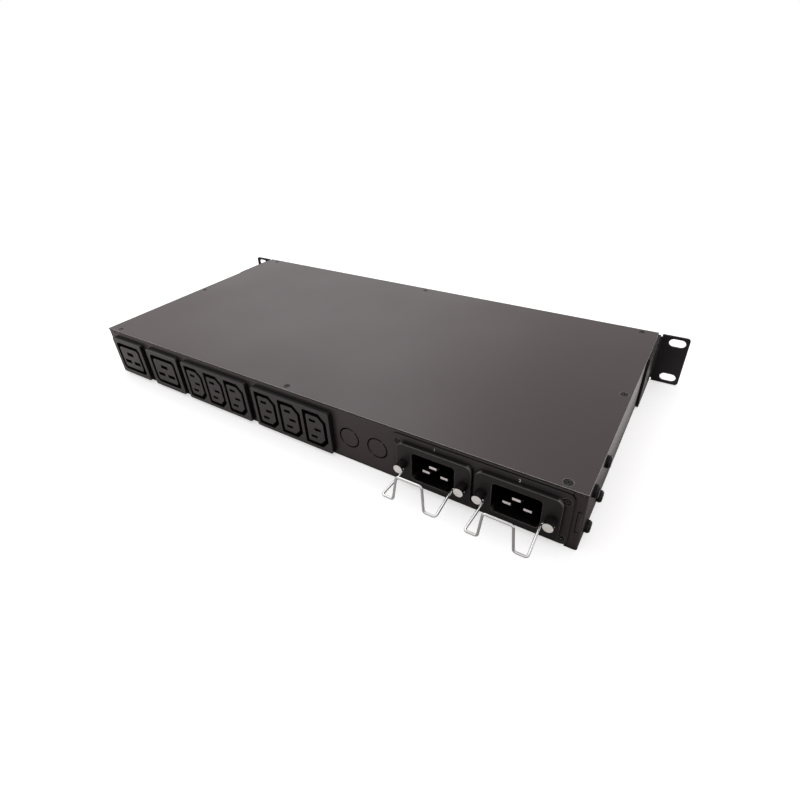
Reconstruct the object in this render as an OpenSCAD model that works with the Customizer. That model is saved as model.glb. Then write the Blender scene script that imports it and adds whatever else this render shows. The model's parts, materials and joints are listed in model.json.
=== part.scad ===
// Rack static transfer switch, one rack unit high. Millimetres, +Z up.
// The origin is the middle of the underside. The rack front faces -Y, the connectors face +Y.

/* [Case] */
// Width across the side walls
case_w = 435; // [425:1:442]
// Depth from front wall to rear wall
case_d = 214.2; // [206:0.2:260]
// Height from the underside to the top of the cover
case_h = 43.6; // [43:0.1:44.4]
// Thickness of the folded sheet
sheet = 1.2; // [1:0.1:1.5]
// Inside radius of the folds
fold_in_r = 0.4; // [0.3:0.1:1]
// Width of the flanges that carry the cover
cover_flange_w = 11; // [10:0.5:14]
// Width of the strips that the side walls turn round the corners
corner_return_w = 7.6; // [7:0.2:12]
// Gap between a corner strip and the end wall beside it
corner_gap = 0.3; // [0.2:0.1:0.6]
// Height of the locking tab in each corner strip
lock_tab_h = 14.6; // [10:0.2:20]
// Width of the locking tab
lock_tab_w = 1.8; // [1.4:0.1:2.4]

/* [Cover screws] */
// Head diameter of the countersunk cover screws
cover_screw_head_d = 6; // [5.4:0.1:6.4]
// Thread diameter of the cover screws
cover_screw_d = 3; // [2.5:0.5:3]
// Distance of the corner screws from the side walls
cover_screw_inset_x = 12.5; // [11:0.5:16]
// Distance of the end screws from the end walls
cover_screw_inset_y = 4.8; // [4.4:0.1:5.4]
// Distance of the middle side screws from the side walls
cover_screw_side_inset = 5; // [5:0.1:6.4]

/* [Rack ears] */
// Width of an ear's front flange beyond the side wall
ear_flange_w = 23.8; // [23:0.1:25]
// Distance from the middle of a slot to the ear's outer edge
slot_edge = 8.75; // [8:0.05:9.5]
// Distance between the slots of one ear
slot_pitch_z = 31.75; // [31:0.05:32]
// Length of a slot
slot_l = 12.5; // [10:0.1:13.5]
// Width of a slot
slot_w = 7.2; // [6.4:0.1:7.6]
// Thickness of the ear bracket
ear_t = 2; // [1.8:0.1:2.4]
// Height of the ear bracket
ear_h = 43; // [42:0.1:43.4]
// Length of the ear along the side wall
ear_len = 55; // [52:1:80]
// Corner radius of the front flange
ear_corner_r = 2.5; // [1:0.1:4]
// Chamfer at the back of the side flange
ear_chamfer = 5; // [2:0.5:6]

/* [Side screws] */
// Spacing of the four screws at each end of a side wall
side_screw_pitch = 28; // [24:0.5:29]
// Distance of the first screw pair from the end of the case
side_screw_inset = 13.9; // [12:0.1:16]
// Thread diameter of the side screws
side_screw_d = 4; // [3:0.5:4]
// Head diameter of the side screws
side_screw_head_d = 8; // [7:0.1:8.2]
// Head height of the pan-head screws
side_screw_head_h = 3.1; // [2.4:0.1:3.4]

/* [Outlets] */
// Height of the outlet centre line above the underside
outlet_z = 20.5; // [20:0.1:22]
// Height of the outlet mouldings
outlet_face_h = 35; // [34:0.5:37]
// How far the outlet mouldings stand out
outlet_face_t = 4; // [2:0.5:5]
// Width of a large outlet's moulding
large_face_w = 40.5; // [38:0.5:44]
// Width of the moulding of a bank of small outlets
bank_face_w = 75; // [74:0.5:78]
// Distance of the first moulding from the side wall
outlet_inset = 8.5; // [6:0.1:10]
// Gap between the two large outlets
large_gap = 8.5; // [6:0.1:10]
// Gap between the large outlets and the first bank
large_to_bank_gap = 6.6; // [5:0.1:8]
// Gap between the two banks
bank_gap = 6.8; // [5:0.1:8]
// Spacing of the small outlets in a bank
small_pitch = 24; // [23:0.1:24.4]
// Depth of the moulding behind the rear wall
outlet_body_depth = 24; // [20:1:30]
// Depth of the ring round each outlet core
ring_depth = 17; // [12:0.5:20]
// Width across the ring of a small outlet
small_ring_w = 21.4; // [20:0.1:22]
// Height across the ring of a small outlet
small_ring_h = 29.8; // [28:0.1:31]
// Width of a small outlet's core
small_core_w = 15.5; // [15:0.1:16.5]
// Height of a small outlet's core
small_core_h = 23.2; // [22.6:0.1:25]
// Width across the ring of a large outlet
large_ring_w = 33.4; // [31:0.1:34]
// Height across the ring of a large outlet
large_ring_h = 27.5; // [25:0.1:28]
// Width of a large outlet's core
large_core_w = 26.3; // [25.8:0.1:28]
// Height of a large outlet's core
large_core_h = 20.6; // [20:0.1:23]

/* [Inlets] */
// Height of the inlet centre line above the underside
inlet_z = 20.8; // [20:0.1:21.6]
// Distance of the outer inlet from the side wall
inlet_inset = 37.1; // [36.5:0.1:40]
// Spacing of the two inlets
inlet_pitch = 54.7; // [54:0.1:58]
// Thickness of the plate that carries the inlets
inlet_plate_t = 1.2; // [1:0.1:1.5]
// Width of the inlet plate
inlet_plate_w = 116.8; // [115:0.2:120]
// Height of the inlet plate
inlet_plate_h = 39; // [37:0.5:40]
// Height of the inlet plate's centre above the underside
inlet_plate_z = 21.4; // [21:0.1:22]
// Corner radius of the inlet plate
inlet_plate_r = 4; // [2:0.5:5]
// Width between the plate screws
plate_screw_pitch_x = 108.8; // [107:0.2:111]
// Height between the plate screws
plate_screw_pitch_z = 28.6; // [27:0.2:30]
// Width of an inlet's flange
inlet_flange_w = 52.6; // [51:0.1:53.6]
// Height of an inlet's flange
inlet_flange_h = 31.2; // [30:0.1:33]
// Thickness of an inlet's flange
inlet_flange_t = 2.8; // [2:0.1:4]
// Corner radius of an inlet's flange
inlet_flange_r = 5; // [3:0.5:6]
// Width of the cavity that takes the connector
cavity_w = 30.4; // [29.8:0.1:31]
// Height of the cavity
cavity_h = 21.8; // [21:0.1:22.4]
// Depth of the cavity
cavity_depth = 22; // [20:0.5:23]
// Wall round the cavity
cavity_wall = 1.9; // [1.5:0.1:2]
// Width of a contact pin
pin_w = 8; // [7:0.1:8.4]
// Thickness of a contact pin
pin_t = 2; // [1.6:0.1:2.4]
// Distance between the two power pins
power_pin_pitch = 13; // [12:0.1:14]
// Offset of the pins above and below the centre line
pin_offset_z = 4; // [3.5:0.1:4.5]

/* [Cord bails] */
// Distance between the two studs of an inlet
stud_pitch = 42.6; // [42:0.1:43.4]
// Diameter of a stud
stud_d = 6.3; // [6:0.1:7]
// Length of a stud in front of the inlet flange
stud_len = 7; // [6.4:0.1:10]
// Distance from a stud's end to the wire through it
stud_wire_inset = 1.8; // [1.5:0.1:2.4]
// Diameter of the bail wire
wire_d = 1.6; // [1.2:0.1:1.8]
// Clearance of the wire in its hole, on the radius
wire_clearance = 0.05; // [0.03:0.01:0.09]
// Radius of the bends in the wire, on its centre line
wire_bend_r = 1.8; // [1.5:0.1:2]
// Length of a bail leg
bail_leg = 24.2; // [20:0.2:30]
// Radius of the bends beside the studs, on the wire's centre line
pivot_bend_r = 1; // [0.9:0.05:1.3]
// How far each leg splays outwards
bail_splay = 1.3; // [0:0.1:2]
// Width between the feet of the clip
bail_foot_w = 21; // [18:0.5:24]
// Width of the clip bar
bail_bar_w = 17; // [14:0.5:20]
// Height of the clip bar over the legs
bail_rise = 17.3; // [14:0.5:20]
// How far the clip leans back
bail_lean = 2.8; // [1:0.1:4]
// Droop of bail A's legs below level
bail_droop_a = 3.4; // [0:0.1:8]
// Droop of bail B's legs below level
bail_droop_b = 5.3; // [0:0.1:8]

/* [Knock-outs] */
// Diameter of a knock-out, as a part of the blank wall from the inlets to the outlets
knockout_part = 0.305; // [0.28:0.005:0.34]
// Width of the cut round it
knockout_cut = 1; // [0.5:0.1:1]
// Spacing of the knock-outs, as a part of the blank wall
knockout_spacing = 0.463; // [0.42:0.001:0.48]
// Distance from the inlet plate to the nearest knock-out, as a part of the blank wall
knockout_place = 0.264; // [0.24:0.001:0.28]
// Width of the bridges that hold a knock-out
knockout_bridge = 1.6; // [1:0.1:2.4]

/* [Front panel] */
// Distance from the case centre to the middle of the display bezel
bezel_x = 100; // [60:1:110]
// Width of the display bezel
bezel_w = 140; // [138:1:156]
// Height of the display bezel
bezel_h = 30; // [28:0.5:34]
// How far the bezel stands out
bezel_t = 2; // [1:0.1:3]
// Room on the bezel at each side of the display window
window_side = 45; // [44:0.5:48]
// Height of the display window
window_h = 18; // [16:0.5:20]
// Thickness of the display window
window_t = 1.5; // [1:0.1:2]
// Diameter of a push button
button_d = 7; // [6:0.1:8]
// Travel of a push button
button_travel = 0.8; // [0.5:0.1:1]
// How far a push button stands out of the bezel
button_proud = 1.4; // [1.2:0.1:2]
// Distance from the window to the first push button
button_inset = 9.5; // [8:0.1:10.5]
// Running clearance of a push button, on the radius
button_clearance = 0.1; // [0.03:0.01:0.1]
// Spacing of the push buttons
button_pitch = 12; // [11.5:0.1:12.5]
// Diameter of a status light
light_d = 3; // [2.5:0.1:4]
// Distance from the window to the middle of the status lights
light_inset = 13; // [11:0.1:15]
// Spacing of the status lights
light_pitch = 5.2; // [4.6:0.1:6]

/* [Circuit boards] */
// Thickness of the circuit boards
board_t = 1.6; // [1:0.1:2]
// Gap between the power board and the control board
board_gap = 4; // [3:0.5:8]
// Depth of the power board
main_board_d = 124; // [120:1:128]
// Height of the boards above the case floor
standoff_h = 6; // [5:0.5:7]
// Width across the flats of a standoff
standoff_af = 5.5; // [5:0.1:6]
// Width of the control board
control_board_w = 70; // [64:1:76]
// Depth of the control board
control_board_d = 96; // [90:1:100]

/* [Power parts] */
// Length of a heat sink
sink_l = 100; // [90:2:110]
// Depth of a heat sink
sink_d = 34; // [30:1:38]
// Thickness of the heat sink's base
sink_base = 4; // [3:0.5:5]
// Height of the fins
fin_h = 12; // [8:0.5:12]
// Number of fins on a heat sink
fin_count = 9; // [5:1:10]
// Thickness of a fin
fin_t = 1.4; // [1:0.1:1.6]
// Height of a thyristor module
thyristor_h = 12; // [10:0.5:12]
// Diameter of a power lead
lead_d = 2.6; // [2:0.1:3]
// Diameter of a storage capacitor
capacitor_d = 16; // [14:0.5:18]

/* [Hidden] */
$fn = 40;

fold_r = sheet + fold_in_r;
side_x = case_w / 2;
rack_w = case_w + 2 * ear_flange_w;
slot_pitch_x = rack_w - 2 * slot_edge;
end_y = case_d / 2;
mid_z = case_h / 2;
cover_z = case_h - sheet;
flange_z = cover_z - sheet;
through = 6 * sheet;
fit_gap = 0.3;
steel_black = [0.16, 0.155, 0.15];
plastic_black = [0.1, 0.1, 0.1];
plated = [0.78, 0.78, 0.76];
brass = [0.8, 0.66, 0.34];
board_green = [0.1, 0.35, 0.2];
lead_brown = [0.35, 0.22, 0.15];

// Cover screws: one at each corner, one in the middle of each edge
cover_screw_points = concat(
    [for (x = [-1, 0, 1], y = [-1, 1]) [x * (side_x - cover_screw_inset_x),
        y * (end_y - cover_screw_inset_y)]],
    [for (x = [-1, 1]) [x * (side_x - cover_screw_side_inset), 0]]
);
// Side screws: [y, z] of the four at the front and of the four at the rear
function side_screw_points(end) = [
    for (i = [0, 1], z = [-1, 1])
        [end * (end_y - side_screw_inset - i * side_screw_pitch), mid_z + z * side_screw_pitch / 2]
];
cover_flange_hole_d = 4;
clinch_nut_h = 2.2;
thread_play = 0.05;
seat_play = 0.06;
side_nut_h = 2.8;
hole_play = 0.4;

inlet_x_b = inlet_inset - side_x;
inlet_x_a = inlet_x_b + inlet_pitch;
inlet_plate_x = (inlet_x_a + inlet_x_b) / 2;
plate_front = end_y + inlet_plate_t;
inlet_front = plate_front + inlet_flange_t;
cavity_floor = inlet_front - cavity_depth;
inlet_floor_t = 4;
inlet_back = cavity_floor - inlet_floor_t;
inlet_body_w = cavity_w + 2 * cavity_wall;
inlet_body_h = cavity_h + 2 * cavity_wall;
cavity_r = 2.5;
earth_tip_inset = 0.7;
power_tip_inset = 3.5;
pin_tail_w = 6.3;
pin_tail_t = 0.8;
pin_tail_len = 9;
plate_screw_d = 3;
plate_screw_head_d = 5.4;
plate_screw_points = [
    for (x = [-1, 1], z = [-1, 1])
        [inlet_plate_x + x * plate_screw_pitch_x / 2, inlet_z + z * plate_screw_pitch_z / 2]
];

stud_shank_d = 3;
stud_nut_af = 5.5;
stud_nut_h = 2.4;
stud_nut_room = 2.4;
stud_nut_hole_d = stud_nut_af + stud_nut_room;
stub_extra = 0.02;
pivot_y = inlet_front + stud_len - stud_wire_inset;
stud_bite = 2.2;
leg_gap = 0.15;
pivot_half_w = stud_pitch / 2 - stud_d / 2 - pivot_bend_r - leg_gap;
stud_x = [for (x = [inlet_x_a, inlet_x_b], s = [-1, 1]) x + s * stud_pitch / 2];

outlet_front = end_y + outlet_face_t;
outlet_back = end_y - outlet_body_depth;
outlet_wall = 1.6;
outlet_face_r = 1.5;
large_ring_r = 4;
large_core_r = 2.5;
small_ring_chamfer = 6;
small_core_chamfer = 4.5;
small_corner_r = 1.2;
large_body_w = large_ring_w + 2 * outlet_wall;
large_body_h = large_ring_h + 2 * outlet_wall;
bank_body_w = 2 * small_pitch + small_ring_w + 2 * outlet_wall;
bank_body_h = small_ring_h + 2 * outlet_wall;
large_1_x = side_x - outlet_inset - large_face_w / 2;
large_2_x = large_1_x - large_face_w - large_gap;
bank_1_x = large_2_x - large_face_w / 2 - large_to_bank_gap - bank_face_w / 2;
bank_2_x = bank_1_x - bank_face_w - bank_gap;
// Slots: [x, z, width, height] from the outlet's own centre
large_slots = [[0, 4.2, 9, 3.6], [6.5, -4, 9, 3.6], [-6.5, -4, 9, 3.6]];
small_slots = [[2, 7, 6, 2.5], [2, -7, 6, 2.5], [-2, 0, 6, 2.5]];
contact_recess = 5;
contact_play = 0.2;
leaf_t = 0.4;
contact_tail_len = 8;
busbar_t = 0.8;
busbar_h = 3;
tail_end = outlet_back - contact_tail_len;

inlet_plate_end = inlet_plate_x + inlet_plate_w / 2;
blank_w = bank_2_x - bank_face_w / 2 - inlet_plate_end;
knockout_d = knockout_part * blank_w;
knockout_pitch = knockout_spacing * blank_w;
knockout_x = inlet_plate_end + knockout_place * blank_w;

// --- Shared shapes ---

module rounded_rect(w, h, r) {
    square([w - 2 * r, h], center = true);
    square([w, h - 2 * r], center = true);
    for (x = [-1, 1], y = [-1, 1])
        translate([x * (w / 2 - r), y * (h / 2 - r)]) circle(r);
}

// A block with rounded corners in XZ, from y0 to y1, centred on x = 0 and z = 0
module y_block(w, h, r, y0, y1) {
    translate([0, y1, 0]) rotate([90, 0, 0]) linear_extrude(y1 - y0) rounded_rect(w, h, r);
}

module y_hole(x, y, z, d, l) {
    translate([x, y, z]) rotate([90, 0, 0]) cylinder(d = d, h = l, center = true);
}

function unit(v) = v / norm(v);

// Points of an arc of radius r that rounds the corner c between a and b
function arc(a, c, b, r, steps) =
    let (u = unit(a - c), v = unit(b - c), half = acos(u * v) / 2)
    let (centre = c + unit(u + v) * r / sin(half))
    let (from = c + u * r / tan(half) - centre)
    [for (i = [0 : steps]) let (t = (180 - 2 * half) * i / steps) centre + from * cos(t) - u * r * sin(t)];

function flat(lists) = [for (l = lists) for (p = l) p];

// Rounds every corner of a closed outline
function rounded(p, r, steps) =
    let (n = len(p), q = [for (v = p) [v.x, v.y, 0]])
    [for (v = flat([for (i = [0 : n - 1])
        arc(q[(i + n - 1) % n], q[i], q[(i + 1) % n], r, steps)])) [v.x, v.y]];

// A round bar swept along points; each ring is carried on from the one before, so it doesn't twist
module swept(points, d, sides) {
    n = len(points);
    ways = [for (i = [0 : n - 1]) unit(points[min(i + 1, n - 1)] - points[max(i - 1, 0)])];
    first = abs(ways[0].z) > 0.9 ? [1, 0, 0] : [0, 0, 1];
    normals = [
        for (i = 0, v = unit(cross(ways[0], first)); i < n; i = i + 1,
            v = i < n ? unit(v - ways[i] * (v * ways[i])) : v) v
    ];
    rings = [
        for (i = [0 : n - 1]) let (m = cross(ways[i], normals[i]))
            for (k = [0 : sides - 1]) points[i] + (normals[i] * cos(360 * k / sides) + m * sin(360 * k / sides)) * d / 2
    ];
    walls = [
        for (i = [0 : n - 2], k = [0 : sides - 1])
            [i * sides + k, (i + 1) * sides + k, (i + 1) * sides + (k + 1) % sides,
                i * sides + (k + 1) % sides]
    ];
    polyhedron(rings, concat(walls, [[for (k = [0 : sides - 1]) k]],
        [[for (k = [sides - 1 : -1 : 0]) (n - 1) * sides + k]]));
}

// A curve that leaves a along way_a and comes into b from way_b
function route(a, way_a, b, way_b, steps) = [
    for (i = [0 : steps]) let (t = i / steps)
        a * pow(1 - t, 3) + 3 * (a + way_a) * t * pow(1 - t,
            2) + 3 * (b + way_b) * t * t * (1 - t) + b * pow(t, 3)
];

module cross_recess(size, depth) {
    for (a = [0, 90]) rotate(a) cube([size, size * 0.22, 2 * depth], center = true);
}

// Countersunk screw: the head's flat top lies at z = 0
module countersunk_screw(head_d, d, l) {
    head_h = (head_d - d) / 2;
    difference() {
        union() {
            translate([0, 0, -head_h]) cylinder(d1 = d, d2 = head_d, h = head_h);
            translate([0, 0, -l]) cylinder(d = d, h = l);
        }
        cross_recess(head_d * 0.55, head_h * 0.8);
    }
}

module countersunk_hole(head_d, d, l) {
    head_h = (head_d - d) / 2;
    translate([0, 0, -head_h]) cylinder(d1 = d + seat_play, d2 = head_d + seat_play, h = head_h);
    translate([0, 0, -l]) cylinder(d = d + hole_play / 2, h = 2 * l);
    cylinder(d = head_d + seat_play, h = l);
}

// Pan-head screw: the head stands on z = 0
module pan_screw(head_d, head_h, d, l) {
    rim = head_h * 0.65;
    difference() {
        union() {
            cylinder(d = head_d, h = rim);
            translate([0, 0, rim]) cylinder(d1 = head_d, d2 = head_d * 0.78, h = head_h - rim);
            translate([0, 0, -l]) cylinder(d = d, h = l + rim / 2);
        }
        translate([0, 0, head_h]) cross_recess(head_d * 0.55, head_h * 0.6);
    }
}

module nut(outer_d, hole_d, h) {
    difference() {
        cylinder(d = outer_d, h = h);
        translate([0, 0, -h / 2]) cylinder(d = hole_d, h = 2 * h);
    }
}

// --- Case ---

module end_walls_profile() {
    translate([0, cover_z / 2]) difference() {
        rounded_rect(case_d, cover_z, fold_r);
        rounded_rect(case_d - 2 * sheet, cover_z - 2 * sheet, fold_in_r);
        translate([cover_flange_w - end_y, 0]) square([case_d - 2 * cover_flange_w, cover_z]);
    }
}

module side_walls_profile() {
    translate([0, cover_z / 2]) difference() {
        rounded_rect(case_w, cover_z, fold_r);
        rounded_rect(case_w - 2 * sheet, cover_z - 2 * sheet, fold_in_r);
        translate([cover_flange_w - side_x, 0]) square([case_w - 2 * cover_flange_w, cover_z]);
    }
}

module plain_side_walls_profile() {
    translate([0, cover_z / 2]) difference() {
        union() {
            rounded_rect(case_w, cover_z, fold_r);
            translate([-side_x, 0]) square([case_w, cover_z / 2]);
        }
        rounded_rect(case_w - 2 * sheet, cover_z - 2 * sheet, fold_in_r);
        translate([sheet - side_x, 0]) square([case_w - 2 * sheet, cover_z]);
    }
}

side_flange_half = end_y - cover_flange_w - 3;
wall_half = end_y - fold_r;
end_wall_w = case_w - 2 * (corner_return_w + corner_gap);
lock_x = side_x - fold_r - lock_tab_w / 2;
lock_ear_over = 2.5;
lock_ear_h = lock_tab_h + 2 * lock_ear_over;
lock_ear_lap = 0.7;
lock_end_gap = 1;

module folded_sheet() {
    rotate([90, 0, 90]) linear_extrude(end_wall_w, center = true) end_walls_profile();
    rotate([90, 0, 0]) linear_extrude(2 * side_flange_half, center = true) side_walls_profile();
    for (y = [side_flange_half, -wall_half])
        translate([0, y + wall_half - side_flange_half, 0])
            rotate([90, 0, 0]) linear_extrude(wall_half - side_flange_half) plain_side_walls_profile();
    linear_extrude(cover_z) difference() {
        rounded_rect(case_w, case_d, fold_r);
        rounded_rect(case_w - 2 * sheet, case_d - 2 * sheet, fold_in_r);
        square([case_w - 2 * corner_return_w, 2 * case_d], center = true);
        square([2 * case_w, 2 * wall_half], center = true);
    }
}

module four_corners() {
    for (x = [0, 1], y = [0, 1]) mirror([x, 0, 0]) mirror([0, y, 0]) children();
}

// Each end wall's ears pass behind the corner strips, and a tab from each locks into the strip
module lock_ear() {
    inner_x = end_wall_w / 2 - lock_ear_lap;
    translate([inner_x, end_y - 2 * sheet, mid_z - lock_ear_h / 2])
        cube([lock_x + lock_tab_w / 2 - inner_x, sheet, lock_ear_h]);
    translate([lock_x - lock_tab_w / 2, end_y - sheet, mid_z - lock_tab_h / 2])
        cube([lock_tab_w, sheet, lock_tab_h]);
}

module lock_slot() {
    translate([lock_x, end_y, mid_z])
        cube([lock_tab_w + 2 * fit_gap, 4 * sheet, lock_tab_h + 2 * lock_end_gap], center = true);
}

knockout_turn = 35;

module knockout_ring() {
    difference() {
        cylinder(d = knockout_d + knockout_cut, h = through, center = true);
        cylinder(d = knockout_d - knockout_cut, h = 2 * through, center = true);
        rotate(knockout_turn) cube([knockout_bridge, 2 * knockout_d, 2 * through], center = true);
    }
}

module rear_wall_cuts() {
    for (x = [large_1_x, large_2_x]) translate([x, 0, outlet_z])
        y_block(large_body_w + 2 * fit_gap, large_body_h + 2 * fit_gap, outlet_face_r, end_y - through,
            end_y + through);
    for (x = [bank_1_x, bank_2_x]) translate([x, 0, outlet_z])
        y_block(bank_body_w + 2 * fit_gap, bank_body_h + 2 * fit_gap, outlet_face_r, end_y - through,
            end_y + through);
    for (x = [inlet_x_a, inlet_x_b]) translate([x, 0, inlet_z])
        y_block(inlet_body_w + 2 * fit_gap, inlet_body_h + 2 * fit_gap, cavity_r, end_y - through,
            end_y + through);
    for (x = stud_x) y_hole(x, end_y, inlet_z, stud_nut_hole_d, through);
    for (p = plate_screw_points) y_hole(p.x, end_y, p.y, plate_screw_d + hole_play, through);
    for (i = [0, 1]) translate([knockout_x + i * knockout_pitch, end_y, inlet_z]) rotate([90, 0, 0])
        knockout_ring();
}

module front_wall_cuts() {
    translate([bezel_x, 0, mid_z])
        y_block(bezel_back_w + 2 * fit_gap, bezel_back_h + 2 * fit_gap, 1, -end_y - through, through - end_y);
}

module side_screw_holes(d) {
    for (x = [-1, 1], end = [-1, 1], p = side_screw_points(end))
        translate([x * side_x, p.x, p.y]) rotate([0, 90, 0]) cylinder(d = d, h = through, center = true);
}

module base_tray() color(steel_black) difference() {
    union() {
        difference() {
            folded_sheet();
            four_corners() lock_slot();
        }
        four_corners() lock_ear();
    }
    rear_wall_cuts();
    front_wall_cuts();
    side_screw_holes(side_screw_d + hole_play);
    for (p = cover_screw_points) translate([p.x, p.y, cover_z])
        cylinder(d = cover_flange_hole_d, h = through, center = true);
    for (p = standoff_points) translate([p.x, p.y, 0])
        cylinder(d = standoff_foot_d + 2 * thread_play, h = through, center = true);
    translate([earth_x, earth_y, 0]) cylinder(d = earth_stud_d + 2 * thread_play, h = through, center = true);
}

// Nuts pressed into the sheet: under the cover flanges, inside the side walls and behind the inlet plate
module clinch_nuts() color(plated) {
    for (p = cover_screw_points) translate([p.x, p.y, flange_z - clinch_nut_h])
        nut(cover_screw_d * 2, cover_screw_d + 2 * thread_play, clinch_nut_h);
    for (x = [-1, 1], end = [-1, 1], p = side_screw_points(end))
        translate([x * (side_x - sheet), p.x, p.y]) rotate([0, -90 * x, 0])
            nut(side_screw_d * 2, side_screw_d + 2 * thread_play, side_nut_h);
    for (p = plate_screw_points) translate([p.x, end_y - sheet, p.y]) rotate([90, 0, 0])
        nut(plate_screw_d * 1.8, plate_screw_d + 2 * thread_play, clinch_nut_h);
}

module top_cover() color(steel_black) difference() {
    translate([-side_x, -end_y, cover_z]) cube([case_w, case_d, sheet]);
    for (p = cover_screw_points) translate([p.x, p.y, case_h])
        countersunk_hole(cover_screw_head_d, cover_screw_d, 2 * sheet);
}

module cover_screws() color(steel_black) for (p = cover_screw_points)
    translate([p.x, p.y, case_h]) countersunk_screw(cover_screw_head_d, cover_screw_d,
        2 * sheet + clinch_nut_h);

// --- Rack ears and side screws ---

ear_in_r = 1;
ear_out_r = ear_t + ear_in_r;
ear_relief = 2.4;

module slot(l, w, depth) {
    linear_extrude(depth, center = true) {
        square([l - w, w], center = true);
        for (x = [-1, 1]) translate([x * (l - w) / 2, 0]) circle(d = w);
    }
}

// The ear for the +X side; it is one bent strip
module ear_bracket() {
    difference() {
        union() {
            translate([side_x + ear_flange_w / 2, ear_t - end_y, mid_z]) rotate([90, 0, 0])
                linear_extrude(ear_t) {
                rounded_rect(ear_flange_w, ear_h, ear_corner_r);
                translate([-ear_flange_w / 2, -ear_h / 2]) square([ear_flange_w / 2, ear_h]);
            }
            translate([side_x, -end_y, mid_z]) rotate([90, 0, 90]) linear_extrude(ear_t) polygon([
                [0, -ear_h / 2], [ear_len - ear_chamfer, -ear_h / 2], [ear_len, ear_chamfer - ear_h / 2],
                [ear_len, ear_h / 2 - ear_chamfer], [ear_len - ear_chamfer, ear_h / 2], [0, ear_h / 2]
            ]);
            translate([side_x + ear_t, ear_t - end_y, mid_z]) difference() {
                translate([0, 0, -ear_h / 2]) cube([ear_in_r, ear_in_r, ear_h]);
                translate([ear_in_r, ear_in_r, 0]) cylinder(r = ear_in_r, h = 2 * ear_h, center = true);
            }
        }
        translate([side_x, -end_y, mid_z]) difference() {
            translate([-ear_t, -ear_t, -ear_h]) cube([ear_t + ear_out_r, ear_t + ear_out_r, 2 * ear_h]);
            translate([ear_out_r, ear_out_r, 0]) cylinder(r = ear_out_r, h = 4 * ear_h, center = true);
        }
        for (z = [-1, 1])
            translate([side_x - ear_relief, -end_y - ear_relief, mid_z + z * ear_h / 2 - ear_relief])
                cube([ear_out_r + ear_relief, ear_out_r + ear_relief, 2 * ear_relief]);
        for (z = [-1, 1]) translate([slot_pitch_x / 2, -end_y, mid_z + z * slot_pitch_z / 2])
            rotate([90, 0, 0]) slot(slot_l, slot_w, 4 * ear_t);
        for (p = side_screw_points(-1)) translate([side_x + ear_t, p.x, p.y]) rotate([0, 90, 0])
            countersunk_hole(side_screw_head_d, side_screw_d, 2 * ear_t);
    }
}

module ear_right() color(steel_black) ear_bracket();

module ear_left() color(steel_black) mirror([1, 0, 0]) ear_bracket();

module ear_screws() color(steel_black) for (x = [-1, 1], p = side_screw_points(-1))
    translate([x * (side_x + ear_t), p.x, p.y]) rotate([0, 90 * x, 0])
        countersunk_screw(side_screw_head_d, side_screw_d, ear_t + sheet + side_nut_h);

module side_screws() color(steel_black) for (x = [-1, 1], p = side_screw_points(1))
    translate([x * side_x, p.x, p.y]) rotate([0, 90 * x, 0])
        pan_screw(side_screw_head_d, side_screw_head_h, side_screw_d, sheet + side_nut_h);

// --- Inlets ---

module inlet_plate() color(steel_black) difference() {
    translate([inlet_plate_x, 0, inlet_plate_z])
        y_block(inlet_plate_w, inlet_plate_h, inlet_plate_r, end_y, plate_front);
    for (x = [inlet_x_a, inlet_x_b]) translate([x, 0, inlet_z])
        y_block(inlet_body_w + 2 * fit_gap, inlet_body_h + 2 * fit_gap, cavity_r, end_y - through,
            end_y + through);
    for (x = stud_x) y_hole(x, end_y, inlet_z, stud_shank_d + hole_play, through);
    for (p = plate_screw_points) translate([p.x, plate_front, p.y]) rotate([-90, 0, 0])
        countersunk_hole(plate_screw_head_d, plate_screw_d, 2 * inlet_plate_t);
}

module inlet_plate_screws() color(steel_black) for (p = plate_screw_points)
    translate([p.x, plate_front, p.y]) rotate([-90, 0, 0])
        countersunk_screw(plate_screw_head_d, plate_screw_d, inlet_plate_t + sheet + clinch_nut_h);

// Each pin as [x, z, tip]
inlet_pins = [
    [0, pin_offset_z, inlet_front - earth_tip_inset],
    [power_pin_pitch / 2, -pin_offset_z, inlet_front - power_tip_inset],
    [-power_pin_pitch / 2, -pin_offset_z, inlet_front - power_tip_inset]
];

module inlet_housing(x) color(plastic_black) translate([x, 0, inlet_z]) difference() {
    union() {
        y_block(inlet_flange_w, inlet_flange_h, inlet_flange_r, plate_front, inlet_front);
        y_block(inlet_body_w, inlet_body_h, cavity_r + cavity_wall / 2, inlet_back, inlet_front);
    }
    y_block(cavity_w, cavity_h, cavity_r, cavity_floor, inlet_front + cavity_depth);
    for (s = [-1, 1]) y_hole(s * stud_pitch / 2, inlet_front, 0, stud_shank_d + hole_play,
        4 * inlet_flange_t);
    for (p = inlet_pins) translate([p.x - pin_w / 2, inlet_back - inlet_floor_t, p.y - pin_t / 2])
        cube([pin_w, 3 * inlet_floor_t, pin_t]);
}

pin_chamfer = 1.5;

module pin_blade(tip) {
    translate([0, 0, -pin_t / 2]) linear_extrude(pin_t) polygon([
        [-pin_w / 2, inlet_back], [pin_w / 2, inlet_back], [pin_w / 2, tip - pin_chamfer],
        [pin_w / 2 - pin_chamfer, tip], [pin_chamfer - pin_w / 2, tip], [-pin_w / 2, tip - pin_chamfer]
    ]);
    translate([-pin_tail_w / 2, inlet_back - pin_tail_len, -pin_tail_t / 2])
        cube([pin_tail_w, pin_tail_len + inlet_floor_t / 2, pin_tail_t]);
}

module inlet_pins_at(x) color(plated) for (p = inlet_pins)
    translate([x + p.x, 0, inlet_z + p.y]) pin_blade(p.z);

module inlet_housing_a() inlet_housing(inlet_x_a);

module inlet_housing_b() inlet_housing(inlet_x_b);

module inlet_pins_a() inlet_pins_at(inlet_x_a);

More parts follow.
